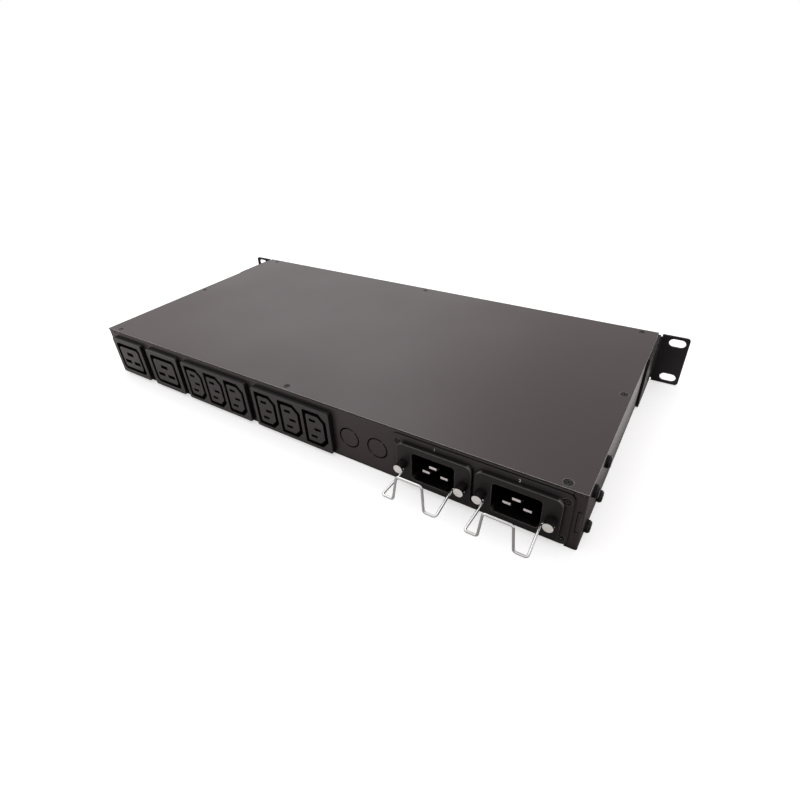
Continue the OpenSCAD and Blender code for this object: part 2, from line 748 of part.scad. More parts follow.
module inlet_pins_b() inlet_pins_at(inlet_x_b);

// --- Studs and wire bails ---

module bail_studs() color(plated) for (x = stud_x) difference() {
    union() {
        translate([x, inlet_front + stud_len, inlet_z]) rotate([90, 0, 0]) cylinder(d = stud_d, h = stud_len);
        translate([x, inlet_front, inlet_z]) rotate([90, 0, 0])
            cylinder(d = stud_shank_d, h = inlet_front - end_y + stud_nut_h + 1);
    }
    translate([x, pivot_y, inlet_z]) rotate([0, 90, 0])
        cylinder(d = wire_d + 2 * wire_clearance, h = 2 * stud_d, center = true);
}

module stud_nuts() color(plated) for (x = stud_x)
    translate([x, end_y, inlet_z]) rotate([90, 0, 0]) difference() {
        cylinder(d = stud_nut_af / cos(30), h = stud_nut_h, $fn = 6);
        cylinder(d = stud_shank_d + 2 * thread_play, h = 4 * stud_nut_h, center = true);
    }

// Half of the wire from the pivot bend to the middle of the clip bar: legs along +Y, clip along +Z
bail_corners = [
    [stud_pitch / 2, 0, 0],
    [pivot_half_w, 0, 0],
    [pivot_half_w + bail_splay, bail_leg, 0],
    [bail_foot_w / 2, bail_leg, 0],
    [bail_bar_w / 2, bail_leg - bail_lean, bail_rise],
    [0, bail_leg - bail_lean, bail_rise]
];
bend_steps = 5;
half_bail = flat([
    for (i = [1 : 4]) arc(bail_corners[i - 1], bail_corners[i], bail_corners[i + 1],
        i == 1 ? pivot_bend_r : wire_bend_r, bend_steps)
]);
bail_line = concat(half_bail, [for (i = [len(half_bail) - 1 : -1 : 0]) [-half_bail[i].x,
    half_bail[i].y, half_bail[i].z]]);
wire_sides = 12;

module bail(x, droop) color(plated) translate([x, pivot_y, inlet_z]) rotate([-droop, 0, 0]) {
    swept(bail_line, wire_d, wire_sides);
    for (s = [-1, 1]) translate([s * (pivot_half_w + pivot_bend_r), 0, 0]) rotate([0, 90 * s, 0])
        cylinder(d = wire_d + stub_extra, h = stud_pitch / 2 + stud_bite - pivot_half_w - pivot_bend_r);
}

module bail_a() bail(inlet_x_a, bail_droop_a);

module bail_b() bail(inlet_x_b, bail_droop_b);

// --- Outlets ---

module small_outline(w, h, chamfer) {
    polygon(rounded([
        [w / 2, -h / 2], [w / 2, h / 2], [chamfer - w / 2, h / 2], [-w / 2, h / 2 - chamfer],
        [-w / 2, chamfer - h / 2], [chamfer - w / 2, -h / 2]
    ], small_corner_r, 3));
}

module slot_cuts(slots) {
    for (s = slots) translate([s.x - s[2] / 2, outlet_back - outlet_body_depth, s.y - s[3] / 2])
        cube([s[2], 3 * outlet_body_depth, s[3]]);
}

module outlet_large(x) color(plastic_black) translate([x, 0, outlet_z]) difference() {
    union() {
        y_block(large_face_w, outlet_face_h, outlet_face_r, end_y, outlet_front);
        y_block(large_body_w, large_body_h, outlet_face_r, outlet_back, end_y + outlet_face_t / 2);
    }
    difference() {
        y_block(large_ring_w, large_ring_h, large_ring_r, outlet_front - ring_depth,
            outlet_front + ring_depth);
        y_block(large_core_w, large_core_h, large_core_r, outlet_back, outlet_front);
    }
    slot_cuts(large_slots);
}

module outlet_bank(x) color(plastic_black) translate([x, 0, outlet_z]) difference() {
    union() {
        y_block(bank_face_w, outlet_face_h, outlet_face_r, end_y, outlet_front);
        y_block(bank_body_w, bank_body_h, outlet_face_r, outlet_back, end_y + outlet_face_t / 2);
    }
    for (i = [-1 : 1]) translate([i * small_pitch, 0, 0]) {
        translate([0, outlet_front + ring_depth, 0]) rotate([90, 0, 0]) linear_extrude(2 * ring_depth)
            difference() {
            small_outline(small_ring_w, small_ring_h, small_ring_chamfer);
            small_outline(small_core_w, small_core_h, small_core_chamfer);
        }
        slot_cuts(small_slots);
    }
}

module outlet_large_1() outlet_large(large_1_x);

module outlet_large_2() outlet_large(large_2_x);

module outlet_bank_1() outlet_bank(bank_1_x);

module outlet_bank_2() outlet_bank(bank_2_x);

// A spring contact: two leaves and a web inside the slot, and a tail behind the moulding
module contact(w, h) {
    leaf_w = w - 2 * contact_play;
    leaf_l = outlet_front - contact_recess - outlet_back;
    for (s = [-1, 1]) translate([-leaf_w / 2, outlet_back,
        s * (h / 2 - contact_play - leaf_t / 2) - leaf_t / 2])
        cube([leaf_w, leaf_l, leaf_t]);
    translate([-leaf_w / 2, outlet_back, contact_play - h / 2]) cube([leaf_w, 1, h - 2 * contact_play]);
    translate([-leaf_w / 2, tail_end, -leaf_t]) cube([leaf_w, contact_tail_len + 0.5, 2 * leaf_t]);
}

module contacts(x, slots) {
    for (s = slots) translate([x + s.x, 0, outlet_z + s.y]) contact(s[2], s[3]);
}

module large_contacts() color(brass) for (x = [large_1_x, large_2_x]) contacts(x, large_slots);

module bank_contacts() color(brass) for (x = [bank_1_x, bank_2_x], i = [-1 : 1])
    contacts(x + i * small_pitch, small_slots);

busbar_from = bank_2_x - small_pitch - small_core_w / 2;
busbar_to = bank_1_x + small_pitch + small_core_w / 2;

// Flat bars that join the contacts of both banks
module bank_busbars() color(brass) for (s = small_slots)
    translate([busbar_from, tail_end - busbar_t, outlet_z + s.y - busbar_h / 2])
        cube([busbar_to - busbar_from, busbar_t, busbar_h]);

// --- Front panel ---

bezel_rim_x = 4;
bezel_rim_z = 2;
bezel_back_w = bezel_w - 2 * bezel_rim_x;
bezel_back_h = bezel_h - 2 * bezel_rim_z;
bezel_r = 3;
bezel_skirt = 3;
bezel_front = -end_y - bezel_t;
bezel_back = sheet - end_y + bezel_skirt;
bezel_flange_seat = 0.6 - end_y;
window_w = bezel_w - 2 * window_side;
light_x = bezel_x - window_w / 2 - light_inset;
button_x = bezel_x + window_w / 2 + button_inset;
button_flange_d = button_d + 2;
button_flange_t = 1;
light_points = [for (i = [-1 : 1], z = [-1, 1]) [light_x + i * light_pitch * 1.5, mid_z + z * light_pitch]];
display_gap = 6;
display_board_y = bezel_back + display_gap;
window_lip = 1.5;
window_sink = 0.2;
key_h = 3.4;
key_size = 6;
key_floor = 0.8;
stem_d = 2.6;

module button_place(i) translate([button_x + i * button_pitch, 0, mid_z]) children();

module display_bezel() color(plastic_black) difference() {
    union() {
        translate([bezel_x, 0, mid_z]) y_block(bezel_w, bezel_h, bezel_r, bezel_front, -end_y);
        translate([bezel_x, 0, mid_z]) y_block(bezel_back_w, bezel_back_h, 1, -end_y - bezel_t / 2,
            bezel_back);
    }
    translate([bezel_x, 0, mid_z]) {
        y_block(window_w, window_h, 1.5, bezel_front - 1, bezel_front + window_t);
        y_block(window_w - 2 * window_lip, window_h - 2 * window_lip, 1, bezel_front, bezel_back + 1);
    }
    for (i = [0 : 2]) button_place(i) {
        y_hole(0, -end_y, 0, button_d + 2 * button_clearance, 8 * bezel_t);
        translate([0, bezel_back + 1, 0]) rotate([90, 0, 0])
            cylinder(d = button_flange_d + 2 * button_clearance, h = bezel_back + 1 - bezel_flange_seat);
    }
    for (p = light_points) y_hole(p.x, -end_y, p.y, light_d + 2 * thread_play, 8 * bezel_t);
}

module display_window() color([0.12, 0.14, 0.16, 0.6]) translate([bezel_x, 0, mid_z])
    y_block(window_w - 2 * thread_play, window_h - 2 * thread_play, 1.5, bezel_front + window_sink,
        bezel_front + window_t);

module display_module() color([0.35, 0.42, 0.36]) translate([bezel_x, 0, mid_z])
    y_block(window_w - 2 * window_lip - 1, window_h - 2 * window_lip - 1, 0.5, bezel_front + window_t,
        display_board_y);

module display_board() color(board_green) translate([bezel_x, 0, mid_z])
    y_block(bezel_back_w, bezel_back_h, 0.5, display_board_y, display_board_y + board_t);

// Light pipes with their lamps, standing on the display board
module status_lights() color([0.85, 0.9, 0.85]) for (p = light_points)
    translate([p.x, display_board_y, p.y]) rotate([90, 0, 0]) {
        cylinder(d = light_d, h = display_board_y - bezel_front + 0.3);
        cylinder(d = light_d + 1, h = 2);
    }

// The stem reaches into the well of the key switch and presses its dome
module button(i) color(plastic_black) button_place(i) {
    translate([0, bezel_flange_seat + fit_gap, 0]) rotate([90, 0, 0])
        cylinder(d = button_d, h = bezel_flange_seat + fit_gap - bezel_front + button_proud);
    translate([0, bezel_flange_seat + fit_gap + button_flange_t, 0]) rotate([90, 0, 0])
        cylinder(d = button_flange_d, h = button_flange_t);
    translate([0, display_board_y - key_h + fit_gap, 0]) rotate([90, 0, 0])
        cylinder(d = stem_d, h = display_board_y - key_h - bezel_flange_seat);
}

module button_menu() button(0);

module button_up() button(1);

module button_down() button(2);

module key_switches() color([0.2, 0.2, 0.2]) for (i = [0 : 2]) button_place(i) difference() {
    translate([-key_size / 2, display_board_y - key_h, -key_size / 2]) cube([key_size, key_h, key_size]);
    y_hole(0, display_board_y - key_h, 0, stem_d + 2 * fit_gap, 2 * (key_h - key_floor));
}

// --- Boards ---

board_screw_d = 3;
standoff_foot_d = 4.2;
standoff_bore = 0.8 * standoff_h;
standoff_inset = 4;
main_board_margin = 15.5;
main_board_setback = 53;
control_board_margin = 5.5;
control_board_setback = 31;
main_board_left = main_board_margin - side_x;
control_board_right = side_x - control_board_margin;
main_board_w = control_board_right - control_board_w - board_gap - main_board_left;
main_board_x = main_board_left + main_board_w / 2;
main_board_y = end_y - main_board_setback - main_board_d / 2;
board_z = sheet + standoff_h;
board_top = board_z + board_t;
relay_x = 20;
control_board_x = control_board_right - control_board_w / 2;
control_board_y = control_board_setback - end_y + control_board_d / 2;

function corner_points(x, y, w, d) = [
    for (i = [-1, 1], j = [-1, 1]) [x + i * (w / 2 - standoff_inset), y + j * (d / 2 - standoff_inset)]
];
standoff_points = concat(
    corner_points(main_board_x, main_board_y, main_board_w, main_board_d),
    [for (j = [-1, 1]) [main_board_x + relay_x, main_board_y + j * (main_board_d / 2 - standoff_inset)]],
    corner_points(control_board_x, control_board_y, control_board_w, control_board_d)
);

module board(x, y, w, d) color(board_green) difference() {
    translate([x - w / 2, y - d / 2, board_z]) cube([w, d, board_t]);
    for (p = standoff_points) translate([p.x, p.y, board_z])
        cylinder(d = board_screw_d + hole_play, h = 4 * board_t, center = true);
}

module main_board() board(main_board_x, main_board_y, main_board_w, main_board_d);

module control_board() board(control_board_x, control_board_y, control_board_w, control_board_d);

// Standoffs pressed into the floor, their feet flush with the underside
module board_standoffs() color(plated) for (p = standoff_points) translate([p.x, p.y, 0]) difference() {
    union() {
        translate([0, 0, sheet]) cylinder(d = standoff_af / cos(30), h = standoff_h, $fn = 6);
        cylinder(d = standoff_foot_d, h = 2 * sheet);
    }
    translate([0, 0, board_z - standoff_bore]) cylinder(d = board_screw_d + 2 * thread_play, h = standoff_h);
}

module board_screws() color(plated) for (p = standoff_points)
    translate([p.x, p.y, board_top]) pan_screw(board_screw_d * 1.8, board_screw_d * 0.6, board_screw_d,
        board_t + standoff_h * 0.6);

// --- Parts on the power board ---

module on_board(x, y) translate([main_board_x + x, main_board_y + y, board_top]) children();

module block(w, d, h) translate([-w / 2, -d / 2, 0]) cube([w, d, h]);

sink_x = -62;
sink_a_y = 9;
sink_b_y = -39;
thyristor_w = 34;
thyristor_d = 22;
thyristor_x = 26;

module thyristor_modules() color([0.13, 0.13, 0.14]) for (y = [sink_a_y, sink_b_y], x = [-1, 1])
    on_board(sink_x + x * thyristor_x, y) block(thyristor_w, thyristor_d, thyristor_h);

module heat_sink(y) color([0.7, 0.71, 0.72]) on_board(sink_x, y) translate([0, 0, thyristor_h]) {
    block(sink_l, sink_d, sink_base);
    for (i = [0 : fin_count - 1])
        translate([0, (i / (fin_count - 1) - 0.5) * (sink_d - fin_t), sink_base / 2])
            block(sink_l, fin_t, fin_h + sink_base / 2);
}

module heat_sink_a() heat_sink(sink_a_y);

module heat_sink_b() heat_sink(sink_b_y);

row_pitch = 27;
row_y = [for (i = [-1.5 : 1.5]) i * row_pitch];
relay_size = [28, 13, 25];

// Transfer relays with a rounded cap on each
module transfer_relays() color([0.15, 0.3, 0.55]) for (y = row_y) on_board(relay_x, y)
    linear_extrude(relay_size.z) rounded_rect(relay_size.x, relay_size.y, 1);

film_size = [18, 24, 19];
film_x = 56;

module film_capacitors() color([0.75, 0.7, 0.2]) for (y = row_y) on_board(film_x, y)
    linear_extrude(film_size.z) rounded_rect(film_size.x, film_size.y, 1);

storage_x = 94;
storage_h = 26;

module storage_capacitors() color([0.12, 0.14, 0.2]) for (y = [for (i = [0 : 2]) row_y[i]])
    on_board(storage_x, y) {
    cylinder(d = capacitor_d, h = storage_h);
    cylinder(d = capacitor_d + 0.6, h = 2);
}

transformer_x = 134;
transformer_core = [32, 12, 27];
transformer_coil = [20, 26, 19];

// Supply transformers: a laminated core round a wound bobbin
module supply_transformers() color([0.45, 0.42, 0.4]) for (y = [row_y[0], row_y[1] + 9])
    on_board(transformer_x, y) {
    block(transformer_core.x, transformer_core.y, transformer_core.z);
    translate([0, 0, (transformer_core.z - transformer_coil.z) / 2])
        block(transformer_coil.x, transformer_coil.y, transformer_coil.z);
    block(transformer_coil.x, transformer_coil.y, transformer_core.z / 4);
}

terminal_pitch = 9;
terminal_size = [8, 12, 15];
terminal_setback = 16;
terminal_y = main_board_d / 2 - terminal_size.y / 2 - terminal_setback;
sensor_size = [14, 9, 20];
sensor_y = main_board_d / 2 - sensor_size.y / 2 - 3;
lead_z = terminal_size.z * 0.55;
input_terminal_x = [for (x = [inlet_x_a, inlet_x_b]) x - main_board_x];
// Output blocks for the banks, the second large outlet and the first one
output_terminal_x = [91, 122, 153];

// A block of three screw terminals; a lead enters each from the rear
module terminal_block() {
    difference() {
        block(3 * terminal_pitch, terminal_size.y, terminal_size.z);
        for (i = [-1 : 1]) translate([i * terminal_pitch, 0, 0]) {
            y_hole(0, terminal_size.y / 2, lead_z, lead_d + 2 * hole_play, terminal_size.y);
            translate([0, -terminal_size.y / 6, terminal_size.z]) cylinder(d = 5, h = 4, center = true);
        }
    }
}

module input_terminals() color([0.12, 0.42, 0.26]) for (x = input_terminal_x) on_board(x, terminal_y)
    terminal_block();

module output_terminals() color([0.12, 0.42, 0.26]) for (x = output_terminal_x) on_board(x, terminal_y)
    terminal_block();

// One sensor round each live input lead
module current_sensors() color([0.18, 0.18, 0.2]) for (x = input_terminal_x)
    on_board(x - terminal_pitch, sensor_y) difference() {
    block(sensor_size.x - terminal_pitch / 2, sensor_size.y, sensor_size.z);
    y_hole(0, 0, lead_z, lead_d + 2, 2 * sensor_size.y);
}

fuse_d = 6.3;
fuse_l = 32;
fuse_inset = 24;
fuse_x = fuse_inset - main_board_w / 2;
fuse_y = [terminal_y - 26, terminal_y - 14];
fuse_z = 6;
clip_t = 6;

module fuse_holders() color([0.14, 0.14, 0.14]) for (y = fuse_y) on_board(fuse_x, y) difference() {
    union() {
        block(fuse_l + 4, 9, 2.5);
        for (x = [-1, 1]) translate([x * (fuse_l / 2 - clip_t / 2), 0, 0]) block(clip_t, 9, fuse_z + 1.5);
    }
    translate([0, 0, fuse_z]) rotate([0, 90, 0])
        cylinder(d = fuse_d + 2 * thread_play, h = 2 * fuse_l, center = true);
}

module fuses() color([0.85, 0.85, 0.8]) for (y = fuse_y) on_board(fuse_x, y) translate([0, 0, fuse_z])
    rotate([0, 90, 0]) {
        cylinder(d = fuse_d - 0.6, h = fuse_l - 2, center = true);
        for (x = [-1, 1]) translate([0, 0, x * (fuse_l / 2 - 3)]) cylinder(d = fuse_d, h = 6, center = true);
    }

chip_size = [14, 14, 1.6];

module control_chips() color([0.1, 0.1, 0.11]) translate([control_board_x, control_board_y, board_top]) {
    block(chip_size.x, chip_size.y, chip_size.z);
    for (i = [-1, 1]) translate([i * control_board_w * 0.28, control_board_d * 0.22, 0])
        block(6, 10, chip_size.z);
    translate([header_x - control_board_x, header_inset + header_d / 2 - control_board_d / 2, 0])
        block(ribbon_w + 4, header_d, header_h);
}

header_d = 6;
header_h = 8;
header_inset = 8;
ribbon_w = 16;
ribbon_t = 1;
ribbon_z = board_top + header_h / 2;
header_x = control_board_x - control_board_w / 2 + ribbon_w / 2 + 4;

// --- Wiring ---

earth_stud_d = 4;
earth_stud_h = 14;
earth_x = (inlet_x_a + inlet_x_b) / 2;
earth_gap = 7;
earth_y = main_board_y + main_board_d / 2 + earth_gap;
earth_nut_af = 7;
earth_nut_h = 2.4;
earth_eye_d = 9.6;
earth_eye_t = 0.8;
earth_eye_lap = 0.5;
earth_lap = 3;
earth_pillar_h = board_top + lead_d / 2 - sheet - earth_eye_t;

// A hexagonal pillar with a threaded end, and the nut that holds the earth lead's eye
module earth_stud() color(plated) translate([earth_x, earth_y, 0]) {
    cylinder(d = earth_stud_d, h = earth_stud_h);
    translate([0, 0, sheet]) cylinder(d = earth_nut_af / cos(30), h = earth_pillar_h, $fn = 6);
    translate([0, 0, sheet + earth_pillar_h + earth_eye_t])
        cylinder(d = earth_nut_af / cos(30), h = earth_nut_h, $fn = 6);
}

lead_reach = 7;
lead_steps = 12;
lead_sides = 8;
lead_straight = 1;
into_terminal = 4;
leads_start = inlet_back - pin_tail_len;
terminal_entry_y = main_board_y + main_board_d / 2 + 1;
terminal_lead_y = main_board_y + terminal_y + terminal_size.y / 2 - into_terminal;

// A lead from a point behind a connector, straight into clamp i of a terminal block.
// Its middle is lifted, so that the leads of one outlet pass above each other.
module terminal_lead(from, block_x, i, lift) {
    end_x = main_board_x + block_x + i * terminal_pitch;
    entry = [end_x, terminal_entry_y, board_top + lead_z];
    out = from - [0, lead_straight, 0];
    swept(concat(
        [from],
        route(out, [0, -lead_reach, lift], entry, [0, lead_reach, lift], lead_steps),
        [[end_x, terminal_lead_y, board_top + lead_z]]
    ), lead_d, lead_sides);
}

// From the three pin tails of an inlet to its terminal block
module input_leads(inlet_x, block_x) color(lead_brown) {
    sorted = [inlet_pins[2], inlet_pins[0], inlet_pins[1]];
    for (i = [-1 : 1])
        terminal_lead([inlet_x + sorted[i + 1].x, leads_start, inlet_z + sorted[i + 1].y], block_x, i, 0);
}

module input_leads_a() input_leads(inlet_x_a, input_terminal_x[0]);

module input_leads_b() input_leads(inlet_x_b, input_terminal_x[1]);

// Lift of the three leads of a large outlet
large_lifts = [-5.5, 7, 3];

module output_leads() color(lead_brown) {
    for (i = [-1 : 1]) terminal_lead(
        [main_board_x + output_terminal_x[0] + i * terminal_pitch, tail_end - busbar_t,
            outlet_z + small_slots[i + 1].y],
        output_terminal_x[0], i, 0
    );
    for (large = [[large_2_x, output_terminal_x[1]], [large_1_x, output_terminal_x[2]]]) {
        sorted = [large_slots[2], large_slots[0], large_slots[1]];
        for (i = [-1 : 1])
            terminal_lead([large[0] + sorted[i + 1].x, tail_end, outlet_z + sorted[i + 1].y], large[1],
                i, large_lifts[i + 1]);
    }
}

// An eye on the earth stud, and its lead to the edge of the power board
module earth_lead() color([0.3, 0.6, 0.25]) {
    translate([earth_x, earth_y, sheet + earth_pillar_h])
        nut(earth_eye_d, earth_stud_d + 2 * contact_play, earth_eye_t);
    lead_from = earth_y - earth_eye_d / 2 + earth_eye_lap;
    lead_to = main_board_y + main_board_d / 2 - earth_lap;
    translate([earth_x, (lead_from + lead_to) / 2, board_top + lead_d / 2]) rotate([90, 0, 0])
        cylinder(d = lead_d, h = lead_from - lead_to, center = true);
}

ribbon_sag = 5;
ribbon_from = display_board_y + board_t;
ribbon_to = control_board_y - control_board_d / 2 + header_inset;
ribbon_span = ribbon_to - ribbon_from;
ribbon_r = (ribbon_span * ribbon_span / 4 + ribbon_sag * ribbon_sag) / (2 * ribbon_sag);

// The flat cable arches from the display board to the header on the control board
module ribbon_cable() color([0.6, 0.6, 0.62])
    translate([header_x - ribbon_w / 2, (ribbon_from + ribbon_to) / 2, ribbon_z]) rotate([90, 0, 90])
        linear_extrude(ribbon_w)
        translate([0, ribbon_sag - ribbon_r]) intersection() {
            difference() {
                circle(ribbon_r + ribbon_t / 2, $fn = 120);
                circle(ribbon_r - ribbon_t / 2, $fn = 120);
            }
            translate([-ribbon_span / 2, ribbon_r - ribbon_sag - ribbon_t])
                square([ribbon_span, 2 * ribbon_r]);
        }

base_tray();
clinch_nuts();
top_cover();
cover_screws();
ear_left();
ear_right();
ear_screws();
side_screws();
inlet_plate();
inlet_plate_screws();
inlet_housing_a();
inlet_housing_b();
inlet_pins_a();
inlet_pins_b();
bail_studs();
stud_nuts();
bail_a();
bail_b();
outlet_large_1();
outlet_large_2();
outlet_bank_1();
outlet_bank_2();
large_contacts();
bank_contacts();
bank_busbars();
display_bezel();
display_window();
display_module();
display_board();
status_lights();
button_menu();
button_up();
button_down();
key_switches();
main_board();
board_standoffs();
board_screws();
thyristor_modules();
heat_sink_a();
heat_sink_b();
transfer_relays();
film_capacitors();
storage_capacitors();
supply_transformers();
current_sensors();
input_terminals();
output_terminals();
control_board();
control_chips();
fuse_holders();
fuses();
earth_stud();
input_leads_a();
input_leads_b();
output_leads();
earth_lead();
ribbon_cable();
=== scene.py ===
# %% [markdown]
# # A rack transfer unit, dressed for the studio
# The unit is a flat folded-steel box that sits in an equipment rack. Two mains inlets and two rows
# of outlets look out of its rear wall, and a small display looks out of its front wall. The solids
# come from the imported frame, already true to size. This lesson gives them what solids lack: rounded
# edges, paint and moulded plastic that catch the light, and a few printed marks.

# %% Load the frame
import json
import math

import bmesh
import bpy
from mathutils import Matrix, Vector

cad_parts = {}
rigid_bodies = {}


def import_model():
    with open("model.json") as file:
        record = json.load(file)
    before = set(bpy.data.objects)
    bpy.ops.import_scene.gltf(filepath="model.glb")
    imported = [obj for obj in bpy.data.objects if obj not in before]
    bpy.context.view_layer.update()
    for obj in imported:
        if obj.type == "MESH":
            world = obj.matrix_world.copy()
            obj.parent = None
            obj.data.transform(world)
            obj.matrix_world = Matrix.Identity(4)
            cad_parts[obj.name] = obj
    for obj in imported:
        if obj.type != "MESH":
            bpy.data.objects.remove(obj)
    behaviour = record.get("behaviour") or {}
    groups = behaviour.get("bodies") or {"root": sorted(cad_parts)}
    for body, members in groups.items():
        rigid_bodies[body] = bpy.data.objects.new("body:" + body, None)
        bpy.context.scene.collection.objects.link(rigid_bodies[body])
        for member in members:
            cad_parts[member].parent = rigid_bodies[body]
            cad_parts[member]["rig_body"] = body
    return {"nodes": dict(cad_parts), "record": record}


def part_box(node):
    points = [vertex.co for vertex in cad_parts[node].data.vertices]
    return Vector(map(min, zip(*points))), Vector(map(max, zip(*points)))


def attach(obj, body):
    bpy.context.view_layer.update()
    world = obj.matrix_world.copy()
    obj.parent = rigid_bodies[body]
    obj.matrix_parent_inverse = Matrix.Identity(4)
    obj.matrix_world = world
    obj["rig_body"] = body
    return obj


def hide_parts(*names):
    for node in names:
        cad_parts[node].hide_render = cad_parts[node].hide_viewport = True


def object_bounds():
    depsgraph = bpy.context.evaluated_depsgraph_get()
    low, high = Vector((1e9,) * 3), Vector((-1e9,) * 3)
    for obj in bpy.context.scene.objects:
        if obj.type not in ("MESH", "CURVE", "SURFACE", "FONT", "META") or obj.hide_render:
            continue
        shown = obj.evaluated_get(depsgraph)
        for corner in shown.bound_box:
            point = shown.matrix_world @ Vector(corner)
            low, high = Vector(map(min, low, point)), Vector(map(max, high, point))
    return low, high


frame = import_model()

nodes = frame["nodes"]
scene = bpy.context.scene
cad_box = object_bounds()

# %% [markdown]
# ## Camera
# The unit is seen from behind its right-hand rear corner, a little above, through a wide lens that
# stands close. A camera is only a place, a direction and a lens, so all three are given as numbers.
# The three directions are the columns of its matrix, with the view itself along minus Z.

# %% Camera
camera_place = Vector((-0.2397, 0.3149, 0.2350))
view_ahead = Vector((0.4590, -0.6904, -0.5591)).normalized()
roughly_up = Vector((0.2682, -0.4923, 0.8281))
view_right = view_ahead.cross(roughly_up).normalized()
view_up = view_right.cross(view_ahead)

camera_data = bpy.data.cameras.new("camera")
camera_data.sensor_width = 36
camera_data.lens = 22.43
camera_data.clip_start = 0.01
camera = bpy.data.objects.new("camera", camera_data)
scene.collection.objects.link(camera)
scene.camera = camera
directions = Matrix((view_right, view_up, -view_ahead)).transposed().to_4x4()
camera.matrix_world = Matrix.Translation(camera_place) @ directions
print("camera at", [round(v, 3) for v in camera.location], "lens", round(camera_data.lens, 2))

# %% [markdown]
# ## Helpers for nodes
# Every finish below is a small tree of shader nodes. Making a node, setting it and wiring it is the
# same few lines each time, so they are written once. An input socket is fed either a value or the
# output of another node. A few nodes come back so often that each has its own helper: a ramp,
# arithmetic on two values, one colour laid over another through a mask, and the place on the unit.

# %% Make a node and feed its sockets
def rgb(colour):
    """A colour with the fourth number that sockets ask for."""
    return (*colour, 1)


def feed(node, inputs):
    """Give input sockets, by name or number, a value or the output of another node."""
    for key, value in inputs.items():
        if isinstance(value, bpy.types.NodeSocket):
            node.id_data.links.new(value, node.inputs[key])
        else:
            node.inputs[key].default_value = value


def add(tree, kind, inputs=None, **settings):
    """A shader node with its settings, and what its input sockets are fed."""
    node = tree.nodes.new("ShaderNode" + kind)
    for key, value in settings.items():
        setattr(node, key, value)
    feed(node, inputs or {})
    return node


print("a node is made by add and fed by feed")

# %% Ramps, arithmetic and colours
def ramp(tree, source, start, end, low=0.0, high=1.0):
    """A value that goes from low to high while the source goes from start to end."""
    limits = {"From Min": start, "From Max": end, "To Min": low, "To Max": high}
    return add(tree, "MapRange", {"Value": source, **limits}).outputs["Result"]


def combine(tree, operation, one, other, clamp=False):
    """Two values put together by one step of arithmetic."""
    return add(tree, "Math", {0: one, 1: other}, operation=operation, use_clamp=clamp).outputs[0]


def lay_over(tree, mask, under, over):
    """One colour over another, where the mask lets it."""
    node = add(tree, "Mix", data_type="RGBA")
    feed(node, {"Factor": mask, "A": under, "B": over})
    return node.outputs["Result"]


def place_on_unit(tree):
    """Object coordinates, which stay with the unit: across X, deep Y, high Z."""
    return add(tree, "TexCoord").outputs["Object"]


def along(tree, axis, vector):
    """One component of a vector."""
    return add(tree, "SeparateXYZ", {"Vector": vector}).outputs[axis]


print("helpers: ramp, combine, lay_over, place_on_unit, along")

# %% [markdown]
# ## White studio
# Black paint shows its shape only by what it mirrors, so the studio is a white tent: a white world
# all round, a white floor, and soft lamps. What the camera sees of the tent is plain white. What
# lights the unit and what it mirrors is another matter: that tent is a little warm and less bright.
# Light Path tells the rays apart.

# %% World
tent_warmth = (1, 0.93, 0.935)
tent_strength = 0.86

world = bpy.data.worlds.new("white_tent")
scene.world = world
world.use_nodes = True
tree = world.node_tree
tree.nodes.clear()
rays = add(tree, "LightPath").outputs
seen = combine(tree, "MAXIMUM", rays["Is Camera Ray"], rays["Is Transmission Ray"])
backdrop = add(tree, "Background", {"Color": rgb((1, 1, 1)), "Strength": 1})
fill = add(tree, "Background", {"Color": rgb(tent_warmth), "Strength": tent_strength})
tent = add(tree, "MixShader", {"Fac": seen, 1: fill.outputs[0], 2: backdrop.outputs[0]})
add(tree, "OutputWorld", {"Surface": tent.outputs[0]})
scene.view_settings.view_transform = "Standard"
print("world: seen at 1, lights at", tent_strength)

# %% [markdown]
# Two rectangular lamps stand in the tent. The large one hangs high beyond the unit and gives the
# soft shadow. The weak one stands lower and further off, where the cover mirrors it, and brightens
# the cover towards its far side. A point or sun lamp would leave a hard spot on the paint.

# %% Lamps
def soft_light(name, place, towards, width, height, watts):
    """A rectangular lamp at a place, turned towards a point."""
    data = bpy.data.lights.new(name, "AREA")
    data.shape = "RECTANGLE"
    data.size = width
    data.size_y = height
    data.energy = watts
    lamp = bpy.data.objects.new(name, data)
    scene.collection.objects.link(lamp)
    lamp.location = place
    turn = (Vector(towards) - lamp.location).to_track_quat("-Z", "Y")
    lamp.rotation_euler = turn.to_euler()
    return lamp


for lamp in (
    soft_light("soft_lamp", (0.9, -0.5, 1.3), (0, 0, 0), width=1.6, height=1.0, watts=7.8),
    soft_light("far_glow", (0.88, -1.12, 0.6), (0.1, 0, 0), width=1.3, height=0.5, watts=1.2),
):
    print(lamp.name, round(lamp.data.energy, 2), "W")

# %% [markdown]
# ## Floor
# The floor is one large sheet. The camera sees it white, with the unit's shadow on it. The rear
# wall mirrors the floor behind the unit, so to other rays the floor turns grey there, and darker
# still towards the inlets; else the black wall would look grey. A strip of floor beside the unit
# glows a little, like a white card laid there, and lifts the side wall.

# %% Floor sheet
sheet = bmesh.new()
bmesh.ops.create_grid(sheet, x_segments=1, y_segments=1, size=6)
floor_mesh = bpy.data.meshes.new("floor")
sheet.to_mesh(floor_mesh)
sheet.free()
floor = bpy.data.objects.new("floor", floor_mesh)
scene.collection.objects.link(floor)
print("floor", [round(v, 1) for v in floor.dimensions[:2]])

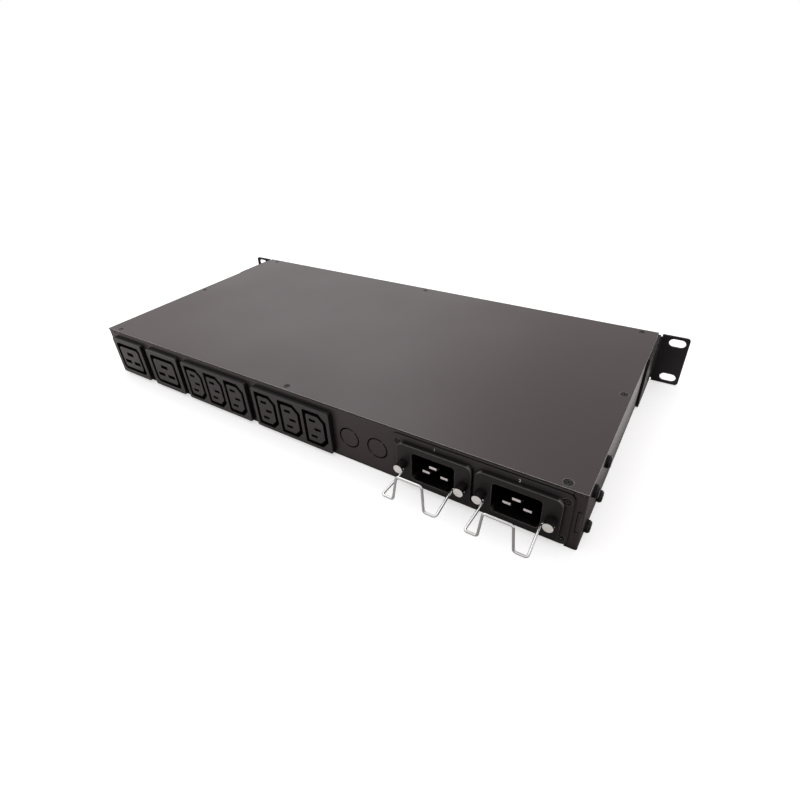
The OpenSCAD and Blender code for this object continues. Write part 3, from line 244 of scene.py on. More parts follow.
# %% Floor paint
floor_seen = (0.7, 0.73, 0.73)
floor_seen_glow = 0.55
floor_in_front = (0.97, 0.95, 0.95)
floor_behind = (0.69, 0.67, 0.67)
floor_behind_inlets = (0.24, 0.22, 0.22)
card_strength = 0.85
card_side = cad_box[0].x
card_soft_edge = 0.017
card_end = (0.06, 0.02)
behind_to_front = (0.1, -0.1)
outlets_to_inlets = (0.02, -0.25)

floor_paint = bpy.data.materials.new("white_floor")
floor_paint.use_nodes = True
tree = floor_paint.node_tree
rays = add(tree, "LightPath").outputs
place = add(tree, "SeparateXYZ", {"Vector": place_on_unit(tree)}).outputs

card_across = ramp(tree, place["X"], card_side + card_soft_edge, card_side)
card_along = ramp(tree, place["Y"], *card_end)
card = combine(tree, "MULTIPLY", card_across, card_along)
unseen = combine(tree, "SUBTRACT", card_strength, rays["Is Camera Ray"])
card_glow = combine(tree, "MULTIPLY", card, unseen, clamp=True)
glow = add(
    tree, "Math", {0: rays["Is Camera Ray"], 1: floor_seen_glow, 2: card_glow},
    operation="MULTIPLY_ADD",
)

towards_inlets = ramp(tree, place["X"], *outlets_to_inlets)
towards_front = ramp(tree, place["Y"], *behind_to_front)
behind = lay_over(tree, towards_inlets, rgb(floor_behind), rgb(floor_behind_inlets))
mirrored = lay_over(tree, towards_front, behind, rgb(floor_in_front))
feed(tree.nodes["Principled BSDF"], {
    "Base Color": lay_over(tree, rays["Is Camera Ray"], mirrored, rgb(floor_seen)),
    "Roughness": 0.9,
    "Specular IOR Level": 0,
    "Emission Color": rgb((1, 1, 1)),
    "Emission Strength": glow.outputs[0],
})
floor.data.materials.append(floor_paint)
print("floor paint with", len(tree.nodes), "nodes")

# %% [markdown]
# ## Shared effects
# Five things happen to many finishes on the unit. Paint and mouldings have a fine grain, their
# gloss isn't even, their edges are a little worn and carry a painted highlight, and their gaps and
# holes get painted shade, as little light reaches them; turned or drawn metal has fine lines. Each
# is a node group with named inputs, built once and placed in each material with its own values. A
# group could be copied into each material instead, but then a change would have to be made in
# every copy.

# %% A group and its sockets
def new_group(name, inputs, outputs):
    """A shader group with its sockets, the sockets inside that bring values, and its end node."""
    group = bpy.data.node_groups.new(name, "ShaderNodeTree")
    for label, kind, value in inputs:
        socket = group.interface.new_socket(
            label, in_out="INPUT", socket_type="NodeSocket" + kind
        )
        if value is not None:
            socket.default_value = value
    for label, kind in outputs:
        group.interface.new_socket(label, in_out="OUTPUT", socket_type="NodeSocket" + kind)
    given = group.nodes.new("NodeGroupInput").outputs
    return group, given, group.nodes.new("NodeGroupOutput")


print("a group has inputs, outputs and a tree of its own")

# %% [markdown]
# Grain is noise at the size of the paint's orange peel or of the mould's texture. It only tilts
# the normal, through a Bump node, so it shows where light grazes and nowhere else.

# %% Grain
grain, given, result = new_group(
    "Grain",
    [("Size", "Float", 1500.0), ("Depth", "Float", 0.1), ("Normal", "Vector", None)],
    [("Normal", "Vector")],
)
speck = add(
    grain, "TexNoise",
    {"Vector": place_on_unit(grain), "Scale": given["Size"], "Detail": 3.0, "Roughness": 0.6},
)
bump = add(grain, "Bump", {
    "Distance": 0.0002, "Strength": given["Depth"],
    "Height": speck.outputs["Fac"], "Normal": given["Normal"],
})
feed(result, {"Normal": bump.outputs["Normal"]})
print(grain.name, "group")

# %% [markdown]
# No hand-held or sprayed surface is equally glossy all over. Slow clouds of noise run between a
# low and a high value, and each material uses that as its roughness.

# %% Uneven gloss
uneven, given, result = new_group(
    "Uneven",
    [("Size", "Float", 14.0), ("Low", "Float", 0.3), ("High", "Float", 0.5)],
    [("Value", "Float")],
)
cloud = add(
    uneven, "TexNoise",
    {"Vector": place_on_unit(uneven), "Scale": given["Size"], "Detail": 4.0, "Roughness": 0.55},
)
feed(result, {"Value": ramp(uneven, cloud.outputs["Fac"], 0.3, 0.7, given["Low"], given["High"])})
print(uneven.name, "group")

# %% [markdown]
# Edges show a paler line. Partly it is the coating, which thins and rubs there; partly it is a
# painted highlight, where an edge would catch the light. Two masks find the edges. A Bevel node
# softens the normal near an edge, so the edge is where the soft normal leaves the true one; noise
# breaks that mask into patches. A bevelled face looks along none of the three axes, so its largest
# component is well under one, and that gives an unbroken painted highlight line.

# %% Edge wear and painted highlight
wear_and_highlight, given, result = new_group(
    "Edge wear",
    [("Radius", "Float", 0.0005), ("Amount", "Float", 0.5), ("Line", "Float", 0.0),
     ("Colour", "Color", None), ("Edge", "Color", None)],
    [("Colour", "Color"), ("Normal", "Vector")],
)
soft_normal = add(wear_and_highlight, "Bevel", {"Radius": given["Radius"]}, samples=6).outputs["Normal"]
true_normal = add(wear_and_highlight, "NewGeometry").outputs["True Normal"]
agree = add(wear_and_highlight, "VectorMath", {0: soft_normal, 1: true_normal}, operation="DOT_PRODUCT")
bent = ramp(wear_and_highlight, agree.outputs["Value"], 0.999, 0.8)
patch = add(wear_and_highlight, "TexNoise", {"Vector": place_on_unit(wear_and_highlight), "Scale": 260.0, "Detail": 3.0})
broken = ramp(wear_and_highlight, patch.outputs["Fac"], 0.35, 0.65, 0.4, 1.0)
rubbed_and_lit = combine(wear_and_highlight, "MULTIPLY", bent, broken)
rubbed_and_lit = combine(wear_and_highlight, "MULTIPLY", rubbed_and_lit, given["Amount"], clamp=True)

unsigned = add(wear_and_highlight, "VectorMath", {0: true_normal}, operation="ABSOLUTE")
part = add(wear_and_highlight, "SeparateXYZ", {"Vector": unsigned.outputs["Vector"]}).outputs
larger = combine(wear_and_highlight, "MAXIMUM", part["X"], part["Y"])
largest = combine(wear_and_highlight, "MAXIMUM", larger, part["Z"])
slanted = ramp(wear_and_highlight, largest, 0.985, 0.93)
highlight_lined = combine(wear_and_highlight, "MULTIPLY", slanted, given["Line"], clamp=True)

wear_highlight_mask = combine(wear_and_highlight, "MAXIMUM", rubbed_and_lit, highlight_lined)
wear_highlight_colour = lay_over(wear_and_highlight, wear_highlight_mask, given["Colour"], given["Edge"])
feed(result, {"Colour": wear_highlight_colour, "Normal": soft_normal})
print(wear_and_highlight.name, "group")

# %% [markdown]
# Little light reaches a narrow gap or a deep hole. Ambient Occlusion measures how shut in a point
# is within a short reach, and the colour sinks towards black there.

# %% Recess
# The colour of painted shade in gaps and holes.
recess_shade_black = (0.0008, 0.0007, 0.0007)

recess, given, result = new_group(
    "Recess",
    [("Reach", "Float", 0.004), ("Depth", "Float", 0.9), ("Colour", "Color", None)],
    [("Colour", "Color")],
)
shut_in = add(recess, "AmbientOcclusion", {"Distance": given["Reach"]}, samples=8)
closed = ramp(recess, shut_in.outputs["AO"], 0.8, 0.45)
sunk = combine(recess, "MULTIPLY", closed, given["Depth"], clamp=True)
feed(result, {"Colour": lay_over(recess, sunk, given["Colour"], rgb(recess_shade_black))})
print(recess.name, "group")

# %% [markdown]
# A lathe or a drawing die leaves fine parallel lines in metal. Noise stretched along one direction
# gives them: its place is multiplied by a small number along the lines and a large one across.

# %% Drawn lines
drawn, given, result = new_group(
    "Drawn lines",
    [("Stretch", "Vector", (20.0, 3000.0, 3000.0)), ("Depth", "Float", 0.1),
     ("Normal", "Vector", None)],
    [("Normal", "Vector"), ("Line", "Float")],
)
stretched = add(
    drawn, "VectorMath", {0: place_on_unit(drawn), 1: given["Stretch"]}, operation="MULTIPLY"
)
lines = add(
    drawn, "TexNoise", {"Vector": stretched.outputs["Vector"], "Scale": 1.0, "Detail": 2.0}
)
bump = add(drawn, "Bump", {
    "Distance": 0.0001, "Strength": given["Depth"],
    "Height": lines.outputs["Fac"], "Normal": given["Normal"],
})
feed(result, {"Normal": bump.outputs["Normal"], "Line": lines.outputs["Fac"]})
print(drawn.name, "group")

# %% [markdown]
# ## Finishes
# Most of the unit is one of two kinds: something coated or moulded, which is a plastic-like surface
# with grain, or bare metal, which is a mirror with fine lines. Two helpers make the two kinds, and
# each finish is a call with its own colour, gloss and grain. The numbers that are the same all over
# a surface go on the shader's own sockets.

# %% Paint and mouldings
def new_finish(name):
    """A new material, its tree of nodes and its shader."""
    material = bpy.data.materials.new(name)
    material.use_nodes = True
    tree = material.node_tree
    return material, tree, tree.nodes["Principled BSDF"]


def gloss_between(tree, size, gloss):
    """Roughness that drifts between two values, in clouds of a size."""
    inputs = {"Size": size, "Low": gloss[0], "High": gloss[1]}
    return add(tree, "Group", inputs, node_tree=uneven).outputs["Value"]


def coated(
    name, colour, edge, gloss, grain_size, depth,
    radius=0.0005, worn_and_lit=0.5, clouds=14.0, specular=0.5, reach=0.003, sink=0.85, highlight_line=0.0,
    painted_shade=None,
):
    """Paint or moulding: grain over softened edges, uneven gloss and painted shade in recesses.

    worn_and_lit and highlight_line are the shares of the two edge masks, whose paler colour is
    partly wear and partly painted highlight; reach and sink are how far and how deep the painted
    shade in recesses goes. painted_shade(tree, surface, edges) may lay more painted shade over
    the surface.
    """
    material, tree, shader = new_finish(name)
    # The paler edge colour is partly wear and partly a painted highlight.
    edges = add(tree, "Group", {
        "Radius": radius, "Amount": worn_and_lit, "Line": highlight_line, "Colour": rgb(colour), "Edge": rgb(edge),
    }, node_tree=wear_and_highlight)
    texture = add(tree, "Group", {
        "Size": grain_size, "Depth": depth, "Normal": edges.outputs["Normal"],
    }, node_tree=grain)
    recess_shade = add(tree, "Group", {
        "Reach": reach, "Depth": sink, "Colour": edges.outputs["Colour"],
    }, node_tree=recess)
    surface = recess_shade.outputs["Colour"]
    # Painted shade on cut faces and joints, for the finishes that ask for it.
    if painted_shade:
        surface = painted_shade(tree, surface, edges)
    feed(shader, {
        "Base Color": surface,
        "Specular IOR Level": specular,
        "Roughness": gloss_between(tree, clouds, gloss),
        "Normal": texture.outputs["Normal"],
    })
    return material


finishes = {}
print("coated makes paint and mouldings")

# %% [markdown]
# Bare metal mirrors the tent. The flat ends of the studs and pins catch the light, while their
# sides lie in the shade of the wall, so such a piece is bright only where it looks out of the wall,
# along Y. Its ends are then matt and only partly metallic, because a full mirror would show the
# dark floor.

# %% Bare metal
shaded_side = (0.034, 0.031, 0.031)


def bare(
    name, colour, gloss, stretch,
    depth=0.08, radius=0.0002, reach=0.002, sink=0.6, metallic=1.0, ends_only=False,
):
    """Bare or plated metal with fine lines; with ends_only, dark but for what looks along +Y."""
    material, tree, shader = new_finish(name)
    edges = add(tree, "Group", {
        "Radius": radius, "Amount": 0.0, "Colour": rgb(colour), "Edge": rgb(colour),
    }, node_tree=wear_and_highlight)
    texture = add(tree, "Group", {
        "Stretch": stretch, "Depth": depth, "Normal": edges.outputs["Normal"],
    }, node_tree=drawn)
    faint = ramp(tree, texture.outputs["Line"], 0.5, 0.8, 0.0, 0.7)
    darker = rgb([c * 0.8 for c in colour])
    # Painted shade in gaps and holes.
    recess_shade = add(tree, "Group", {
        "Reach": reach, "Depth": sink,
        "Colour": lay_over(tree, faint, edges.outputs["Colour"], darker),
    }, node_tree=recess)
    surface = recess_shade.outputs["Colour"]
    shine = metallic
    if ends_only:
        true_normal = add(tree, "NewGeometry").outputs["True Normal"]
        ends = ramp(tree, along(tree, "Y", true_normal), 0.75, 0.95)
        surface = lay_over(tree, ends, rgb(shaded_side), surface)
        shine = ramp(tree, ends, 0.0, 1.0, 1.0, metallic)
    feed(shader, {
        "Base Color": surface,
        "Metallic": shine,
        "Roughness": gloss_between(tree, 90.0, gloss),
        "Normal": texture.outputs["Normal"],
    })
    return material


print("bare makes metal")

# %% [markdown]
# A few pieces have a pattern of their own: circuit tracks, laminations, display cells. For them a
# small function makes the pattern's nodes, and one helper puts it on a plain shader.

# %% Patterns
def patterned(name, build, gloss, metallic=0.0):
    """A material whose Base Color is the socket that build(tree) returns."""
    material, tree, shader = new_finish(name)
    feed(shader, {
        "Base Color": build(tree),
        "Metallic": metallic,
        "Roughness": gloss_between(tree, 40.0, gloss),
    })
    return material


print("patterned makes boards, laminations and displays")

# %% [markdown]
# ## Painted shade in cuts and joints
# Where sheet is cut, its thin edge and the gap behind it lie in shade and read as black lines:
# round the knock-outs, at the lock tabs in the corner strips, under the cover. The gaps are there
# in the solids, but the sheen of the paint on their walls would turn them grey, so painted shade
# makes the paint nearly black there. The cut faces are found by their normal, which lies across
# the axis that the broad faces look along.

# %% Cut faces
cut_shade_black = (0.0015, 0.0013, 0.0013)
darkest = 0.95


def cut_faces(tree, axis):
    """A mask of the faces that look across an axis and not along it."""
    true_normal = add(tree, "NewGeometry").outputs["True Normal"]
    either_way = add(tree, "VectorMath", {0: true_normal}, operation="ABSOLUTE")
    return ramp(tree, along(tree, axis, either_way.outputs["Vector"]), 0.3, 0.15, 0.0, darkest)


def flat_sheet(axis):
    """Painted shade for a sheet whose broad faces look along an axis: its cut faces go nearly black.
    """
    def painted_shade(tree, surface, edges):
        return lay_over(tree, cut_faces(tree, axis), surface, rgb(cut_shade_black))
    return painted_shade


print("cut faces go", int(darkest * 100), "percent black")

# %% [markdown]
# The tray is folded, so its cut faces can't be told by the normal alone. Its end walls are found by
# their place: at the two ends, and not round the corners. There the cut faces and the rims round
# them get painted shade, near black. A last painted shadow line lies just under the cover.

# %% Tray
tray_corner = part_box("base_tray")[1]
cover_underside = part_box("top_cover")[0].z
corner_fade = (0.002, 0.003)
wall_fade = (0.0012, 0.0011)
joint_shadow_fade = (0.0007, 0.0004)


def below(level, fade):
    """Where a mask starts and is full, as two distances down from a level."""
    return level - fade[0], level - fade[1]


def folded_tray(tree, surface, edges):
    """Painted shade for the tray: its end-wall cuts go black, and a shadow line lies under the cover.
    """
    halves = add(tree, "VectorMath", {0: place_on_unit(tree)}, operation="ABSOLUTE")
    where = add(tree, "SeparateXYZ", {"Vector": halves.outputs["Vector"]}).outputs
    clear_of_corners = ramp(tree, where["X"], *below(tray_corner.x, corner_fade))
    at_an_end = ramp(tree, where["Y"], *below(tray_corner.y, wall_fade))
    end_walls = combine(tree, "MULTIPLY", clear_of_corners, at_an_end)
    # Round the cuts in the end walls, the edge colour turns to painted shade.
    pale_wear_highlight = tuple(edges.inputs["Edge"].default_value)
    feed(edges, {"Edge": lay_over(tree, end_walls, pale_wear_highlight, rgb(cut_shade_black))})
    # The cut faces in the end walls get painted shade.
    shaded_cuts = combine(tree, "MULTIPLY", end_walls, cut_faces(tree, "Y"))
    # A painted shadow line just under the cover.
    joint_shadow = ramp(tree, where["Z"], *below(cover_underside, joint_shadow_fade), 0.0, darkest)
    shade_mask = combine(tree, "MAXIMUM", shaded_cuts, joint_shadow)
    return lay_over(tree, shade_mask, surface, rgb(cut_shade_black))


print("tray corner at", [round(v * 1000, 1) for v in tray_corner], "mm")

# %% [markdown]
# ## Case, ears and screws
# The case is steel under a satin black powder coat. The powder melts into a fine orange peel. Its
# folded edges show a paler line, partly worn coat and partly painted highlight, brightest along
# the cover. The ears have the same coat, a little smoother and blacker. The screws are
# black-plated.

# %% Case and ears
powder_coat = dict(grain_size=1500.0, depth=0.10, clouds=9.0, reach=0.007, sink=1.0)

# The case's pale edge line is partly worn coat and partly painted highlight.
finishes["case_paint"] = coated(
    "satin_powder_coat", colour=(0.031, 0.0245, 0.0255), edge=(0.36, 0.33, 0.33),
    gloss=(0.36, 0.44), worn_and_lit=0.8, painted_shade=folded_tray, **powder_coat
)
# The cover's bright edge colour and full line are a painted highlight; its cut faces get painted
# shade.
finishes["cover_highlight_paint"] = coated(
    "cover_powder_coat", colour=(0.031, 0.0225, 0.024), edge=(0.85, 0.8, 0.79),
    gloss=(0.36, 0.44), worn_and_lit=0.5, highlight_line=1.0, painted_shade=flat_sheet("Z"), **powder_coat
)
# The plate's faint edge line is partly painted highlight; its cut faces get painted shade.
finishes["plate_paint"] = coated(
    "plate_powder_coat", colour=(0.024, 0.02, 0.021), edge=(0.1, 0.09, 0.09),
    gloss=(0.38, 0.46), worn_and_lit=0.3, highlight_line=0.3, painted_shade=flat_sheet("Y"), **powder_coat
)
finishes["ear_paint"] = coated(
    "ear_powder_coat", colour=(0.0095, 0.0085, 0.0085), edge=(0.05, 0.046, 0.046),
    gloss=(0.42, 0.5), grain_size=1700.0, depth=0.08, worn_and_lit=0.4, specular=0.12
)
print("coats:", list(finishes))

# %% Screws
# The pale line on the screws' edges is partly wear and partly painted highlight.
finishes["black_screws"] = coated(
    "black_plating", colour=(0.005, 0.0045, 0.0045), edge=(0.4, 0.38, 0.38),
    gloss=(0.28, 0.4), grain_size=2600.0, depth=0.05,
    radius=0.0003, worn_and_lit=1.0, specular=0.18, reach=0.001
)
print("screws:", finishes["black_screws"].name)

# %% [markdown]
# ## Inlets, outlets and buttons
# The connector mouldings are glass-filled black nylon: a fine spark-eroded grain, and a soft sheen
# on their rims that is a painted highlight. The outlets are a slightly greyer black than the inlets,
# whose cavities are deep and stay black under painted shade. The bezel, the buttons and the parts
# on the boards are other mouldings.

# %% Mouldings
# The inlets' rims get a painted highlight line, and their deep cavities painted shade.
finishes["inlet_black"] = coated(
    "inlet_moulding", colour=(0.019, 0.017, 0.0175), edge=(0.3, 0.28, 0.28),
    gloss=(0.34, 0.46), grain_size=2200.0, depth=0.12,
    radius=0.0006, worn_and_lit=0.5, specular=0.32, reach=0.03, sink=1.0, highlight_line=0.7
)
# The outlets' rims get a fainter painted highlight line, and their cut faces painted shade.
finishes["outlet_black"] = coated(
    "outlet_moulding", colour=(0.026, 0.0215, 0.0225), edge=(0.2, 0.185, 0.185),
    gloss=(0.38, 0.5), grain_size=2200.0, depth=0.14,
    radius=0.0006, worn_and_lit=0.3, reach=0.010, sink=1.0, highlight_line=0.35, painted_shade=flat_sheet("Y")
)
finishes["bezel_black"] = coated(
    "bezel_moulding", colour=(0.018, 0.018, 0.018), edge=(0.1, 0.1, 0.1),
    gloss=(0.4, 0.55), grain_size=1800.0, depth=0.2, radius=0.0005, worn_and_lit=0.4
)
finishes["button_grey"] = coated(
    "button_moulding", colour=(0.13, 0.13, 0.135), edge=(0.3, 0.3, 0.31),
    gloss=(0.4, 0.5), grain_size=2400.0, depth=0.12, radius=0.0004, worn_and_lit=0.4
)
finishes["black_moulding"] = coated(
    "component_moulding", colour=(0.015, 0.015, 0.016), edge=(0.09, 0.09, 0.09),
    gloss=(0.45, 0.6), grain_size=2400.0, depth=0.15, radius=0.0003
)
print(len(finishes), "finishes so far")

# %% [markdown]
# ## Studs, pins, wires and other metal
# The studs are turned and nickel-plated, the pins are plated brass, and the bails are bright drawn
# wire. Inside, screws and standoffs are zinc-plated, contacts are plain brass, and heat sinks are
# extruded aluminium. The lines of each run the way it was turned, drawn or pushed.

# %% Bright metals
finishes["stud_nickel"] = bare(
    "turned_nickel", colour=(0.97, 1.0, 0.95), gloss=(0.45, 0.6),
    stretch=(3000.0, 40.0, 3000.0), depth=0.12, sink=0.1, metallic=0.2, ends_only=True
)
finishes["bail_wire"] = bare(
    "drawn_wire", colour=(0.73, 0.765, 0.76), gloss=(0.1, 0.18),
    stretch=(3000.0, 30.0, 3000.0), depth=0.05
)
finishes["pin_nickel"] = bare(
    "plated_pins", colour=(0.97, 0.96, 0.94), gloss=(0.3, 0.4),
    stretch=(3000.0, 30.0, 3000.0), depth=0.08, sink=0.0, metallic=0.2, ends_only=True
)
finishes["zinc_steel"] = bare(
    "bright_zinc", colour=(0.72, 0.73, 0.74), gloss=(0.3, 0.45),
    stretch=(2000.0, 2000.0, 60.0), depth=0.1
)
finishes["contact_brass"] = bare(
    "contact_brass", colour=(0.83, 0.62, 0.28), gloss=(0.25, 0.4),
    stretch=(2500.0, 40.0, 2500.0), depth=0.08
)
finishes["sink_aluminium"] = bare(
    "extruded_aluminium", colour=(0.66, 0.67, 0.68), gloss=(0.35, 0.5),
    stretch=(25.0, 2600.0, 2600.0), depth=0.15
)
print(len(finishes), "finishes so far")

# %% [markdown]
# ## Display and lights
# The display sits behind a smoked window. The window is a real thin slab of glass-like plastic,
# with its colour in the slab. The display face has a fine grid of cells, made from two wave
# textures, and the light pipes are clear plastic that scatters a little.

# %% Display face
def display_cells(tree):
    place = place_on_unit(tree)
    across = add(tree, "TexWave", {"Vector": place, "Scale": 620.0}, bands_direction="X")
    upwards = add(tree, "TexWave", {"Vector": place, "Scale": 620.0}, bands_direction="Z")
    cells = combine(tree, "MULTIPLY", across.outputs["Fac"], upwards.outputs["Fac"])
    faint = ramp(tree, cells, 0.0, 0.4)
    return lay_over(tree, faint, rgb((0.045, 0.06, 0.05)), rgb((0.085, 0.11, 0.09)))


finishes["display_glass"] = patterned("display_face", display_cells, gloss=(0.08, 0.14))
print("display:", finishes["display_glass"].name)

# %% Window and light pipes
def clear(name, colour, gloss, transmission):
    """Clear or milky acrylic."""
    material, tree, shader = new_finish(name)
    feed(shader, {
        "Base Color": rgb(colour),
        "Transmission Weight": transmission,
        "IOR": 1.49,
        "Roughness": gloss_between(tree, 60.0, gloss),
    })
    return material


finishes["smoked_window"] = clear(
    "smoked_acrylic", colour=(0.32, 0.34, 0.37), gloss=(0.04, 0.08), transmission=0.92
)
finishes["light_pipe"] = clear(
    "milky_pipe", colour=(0.82, 0.86, 0.8), gloss=(0.18, 0.3), transmission=0.5
)
print("clear parts:", finishes["smoked_window"].name, finishes["light_pipe"].name)

# %% [markdown]
# ## Boards and power parts
# A circuit board is a laminate under a green mask, with copper tracks that show as paler lines. The
# tracks follow a grid, so a brick texture draws them. The supply transformers show their
# laminations, so a wave texture runs through the core. A fuse is a ceramic tube with a metal cap at
# each end, told apart by the distance from its middle.

# %% Boards
def board_tracks(tree):
    mask, mask_light, track = (0.012, 0.085, 0.035), (0.016, 0.11, 0.045), (0.04, 0.2, 0.08)
    grid = add(tree, "TexBrick", {
        "Vector": place_on_unit(tree), "Scale": 60.0,
        "Mortar Size": 0.06, "Mortar Smooth": 0.1, "Brick Width": 0.9, "Row Height": 0.22,
        "Color1": rgb(mask), "Color2": rgb(mask_light), "Mortar": rgb(track),
    }, offset=0.37)
    return grid.outputs["Color"]


finishes["board_laminate"] = patterned("masked_laminate", board_tracks, gloss=(0.25, 0.4))
print("boards:", finishes["board_laminate"].name)

# %% Laminations and fuses
fuse_low, fuse_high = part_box("fuses")
fuse_middle = (fuse_low.x + fuse_high.x) / 2
fuse_half = (fuse_high.x - fuse_low.x) / 2
fuse_cap = 0.006


def laminations(tree):
    sheets = add(
        tree, "TexWave", {"Vector": place_on_unit(tree), "Scale": 520.0, "Distortion": 0.6},
        bands_direction="Y",
    )
    varnish, steel = rgb((0.16, 0.15, 0.14)), rgb((0.4, 0.38, 0.36))
    return lay_over(tree, sheets.outputs["Fac"], varnish, steel)


def fuse_bands(tree):
    from_middle = combine(tree, "ADD", along(tree, "X", place_on_unit(tree)), -fuse_middle)
    distance = add(tree, "Math", {0: from_middle}, operation="ABSOLUTE").outputs[0]
    cap = combine(tree, "GREATER_THAN", distance, fuse_half - fuse_cap)
    return lay_over(tree, cap, rgb((0.82, 0.8, 0.74)), rgb((0.6, 0.6, 0.58)))


finishes["core_steel"] = patterned(
    "varnished_laminations", laminations, gloss=(0.35, 0.5), metallic=0.6
)
finishes["fuse_body"] = patterned("fuse_tube", fuse_bands, gloss=(0.2, 0.35))
print("fuses are", round(fuse_half * 2000, 1), "mm from end to end")

# %% Sleeves, blocks and leads
for slot_name, colour, edge, gloss in (
    ("relay_case", (0.02, 0.06, 0.24), (0.1, 0.18, 0.45), (0.25, 0.35)),
    ("film_case", (0.55, 0.43, 0.06), (0.75, 0.65, 0.2), (0.3, 0.4)),
    ("capacitor_sleeve", (0.015, 0.02, 0.06), (0.08, 0.1, 0.2), (0.15, 0.3)),
    ("terminal_green", (0.02, 0.2, 0.07), (0.1, 0.4, 0.2), (0.35, 0.5)),
    ("lead_jacket", (0.12, 0.05, 0.025), (0.2, 0.1, 0.06), (0.35, 0.5)),
    ("earth_jacket", (0.05, 0.26, 0.04), (0.2, 0.5, 0.1), (0.35, 0.5)),
    ("ribbon_grey", (0.3, 0.3, 0.32), (0.5, 0.5, 0.5), (0.4, 0.55)),
):
    finishes[slot_name] = coated(
        slot_name, colour, edge, gloss, grain_size=2000.0, depth=0.08, radius=0.0004, worn_and_lit=0.3
    )
print(len(finishes), "finishes in all")

# %% [markdown]
# ## Dress the solids
# The record says which material slot each solid belongs to. A finish has the name of its slot, so
# every solid gets its own in one loop, and none is forgotten.

# %% Finishes on the solids
slot_of = {row["node"]: row["material_slot"] for row in frame["record"]["subparts"]}
for name, node in nodes.items():
    node.data.materials.clear()
    node.data.materials.append(finishes[slot_of[name]])
print(len(set(slot_of.values())), "slots used by", len(nodes), "solids")

# %% [markdown]
# ## Rounded edges
# No edge of the real unit is perfectly sharp: folds and cut sheet have a small radius, and
# mouldings a larger one. A copy of each visible solid is merged into one connected skin, its flat
# triangles are joined into whole faces, and its sharp edges are bevelled by the size that suits how
# it was made. The copy then stands for the solid. The bevel could be a modifier, but in mesh code
# the edges are chosen by their angle after the triangles are joined, which keeps it clean. Round
# wire has no edges to bevel, so the bails' width is nought.

# %% Bevel a skin
merge_distance = 1e-6
flat_angle = math.radians(0.6)
sharp_angle = math.radians(28)
smooth_angle = math.radians(50)
# The cover and the plate take finishes of their own, with painted highlights on their edges and
# painted shade on their cut faces.
own_paint = {"top_cover": "cover_highlight_paint", "inlet_plate": "plate_paint"}


def bevelled_mesh(solid, name, width):
    """A connected copy of a solid's mesh with its sharp edges bevelled."""
    skin = bmesh.new()
    skin.from_mesh(solid)
    bmesh.ops.remove_doubles(skin, verts=skin.verts, dist=merge_distance)
    bmesh.ops.dissolve_limit(
        skin, angle_limit=flat_angle, verts=skin.verts, edges=skin.edges, delimit=set()
    )
    skin.normal_update()
    sharp = [e for e in skin.edges if len(e.link_faces) == 2 and e.calc_face_angle() > sharp_angle]
    bmesh.ops.bevel(
        skin, geom=sharp, affect="EDGES", offset=width, offset_type="OFFSET", segments=2,
        profile=0.5, material=-1, clamp_overlap=True,
    )
    for face in skin.faces:
        face.smooth = True
    for edge in skin.edges:
        edge.smooth = len(edge.link_faces) == 2 and edge.calc_face_angle() < smooth_angle
    mesh = bpy.data.meshes.new(name)
    skin.to_mesh(mesh)
    skin.free()
    return mesh


print("edges sharper than", round(math.degrees(sharp_angle)), "degrees are bevelled")

# %% Dress a copy and let it stand for its solid
def round_edges(name, width):
    """A dressed copy of a solid with bevelled edges, riding where the solid rides."""
    node = nodes[name]
    mesh = bevelled_mesh(node.data, name + "_skin", width)
    mesh.materials.append(finishes[own_paint.get(name, slot_of[name])])
    piece = bpy.data.objects.new(name + "_dressed", mesh)
    scene.collection.objects.link(piece)
    even = piece.modifiers.new("even_normals", "WEIGHTED_NORMAL")
    even.keep_sharp = True
    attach(piece, node["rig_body"])
    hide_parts(name)
    return piece


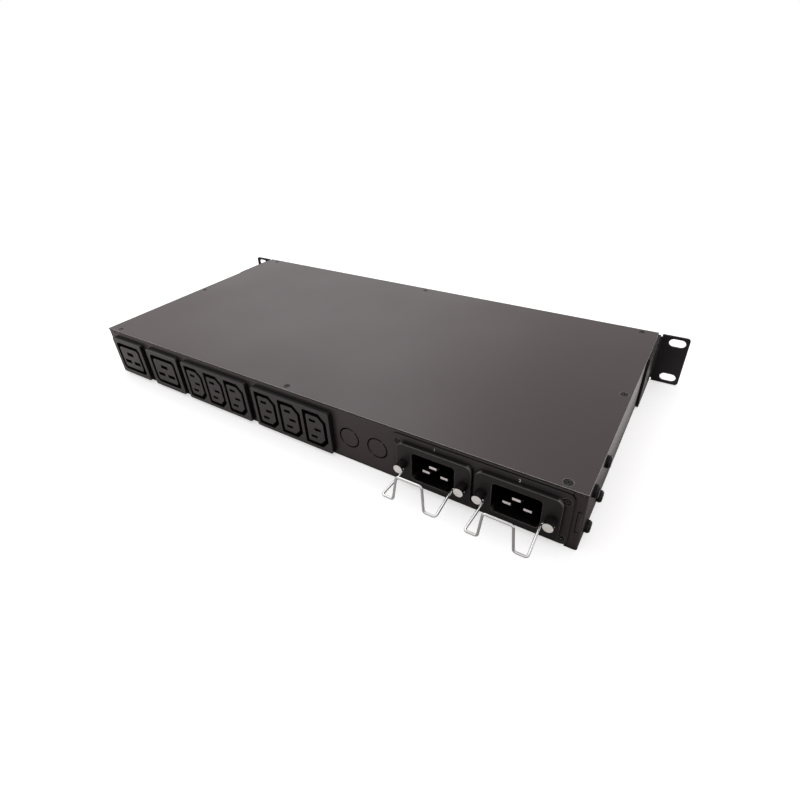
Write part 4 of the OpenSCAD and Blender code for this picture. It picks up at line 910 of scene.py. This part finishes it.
rounded_by = {
    "top_cover": 0.0007, "base_tray": 0.00012, "ear_left": 0.0003, "ear_right": 0.0003,
    "inlet_plate": 0.0003, "inlet_housing_a": 0.0006, "inlet_housing_b": 0.0006,
    "outlet_large_1": 0.0005, "outlet_large_2": 0.0005,
    "outlet_bank_1": 0.0005, "outlet_bank_2": 0.0005,
    "bail_studs": 0.0004, "inlet_pins_a": 0.0002, "inlet_pins_b": 0.0002,
    "side_screws": 0.0003, "display_bezel": 0.0005,
    "button_menu": 0.0005, "button_up": 0.0005, "button_down": 0.0005,
    "bail_a": 0.0, "bail_b": 0.0,
}
for name, width in rounded_by.items():
    piece = round_edges(name, width)
    print(name, len(piece.data.polygons), "faces")

# %% [markdown]
# ## Inlet numbers
# Each inlet carries a printed white number, so that its cord can be told from the other's. A number
# is a text object turned into a mesh, stood up on the plate's face and given a hair's thickness, as
# ink has. It rides on the case.

# %% A printed number
ink_thickness = 0.00003
ink = coated(
    "white_print", colour=(0.78, 0.78, 0.76), edge=(0.78, 0.78, 0.76),
    gloss=(0.5, 0.6), grain_size=3000.0, depth=0.05, worn_and_lit=0.0
)
stood_up = Matrix.Rotation(math.pi, 4, "Z") @ Matrix.Rotation(math.pi / 2, 4, "X")


def printed_number(name, text, middle, height):
    """A number in raised ink that faces +Y, with its middle at a point."""
    letters = bpy.data.curves.new(name, "FONT")
    letters.body = text
    letters.size = height * 1.4
    letters.align_x = "CENTER"
    letters.align_y = "CENTER"
    letters.extrude = ink_thickness
    flat = bpy.data.objects.new(name + "_flat", letters)
    scene.collection.objects.link(flat)
    bpy.context.view_layer.update()
    mesh = bpy.data.meshes.new_from_object(flat)
    mesh.transform(Matrix.Translation(middle) @ stood_up)
    mesh.materials.clear()
    mesh.materials.append(ink)
    bpy.data.objects.remove(flat)
    piece = bpy.data.objects.new(name, mesh)
    scene.collection.objects.link(piece)
    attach(piece, "case")
    return piece


print("ink", round(ink_thickness * 2e6), "micrometres thick")

# %% Numbers over the inlets
number_height = 0.0024
number_drop = 0.0006
plate_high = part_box("inlet_plate")[1]
for text, housing in (("1", "inlet_housing_a"), ("2", "inlet_housing_b")):
    low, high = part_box(housing)
    above = (high.z + plate_high.z) / 2 - number_drop
    middle = ((low.x + high.x) / 2, plate_high.y, above)
    number = printed_number("inlet_number_" + text, text, middle, number_height)
    print(number.name, [round(v * 1000, 2) for v in number.dimensions])
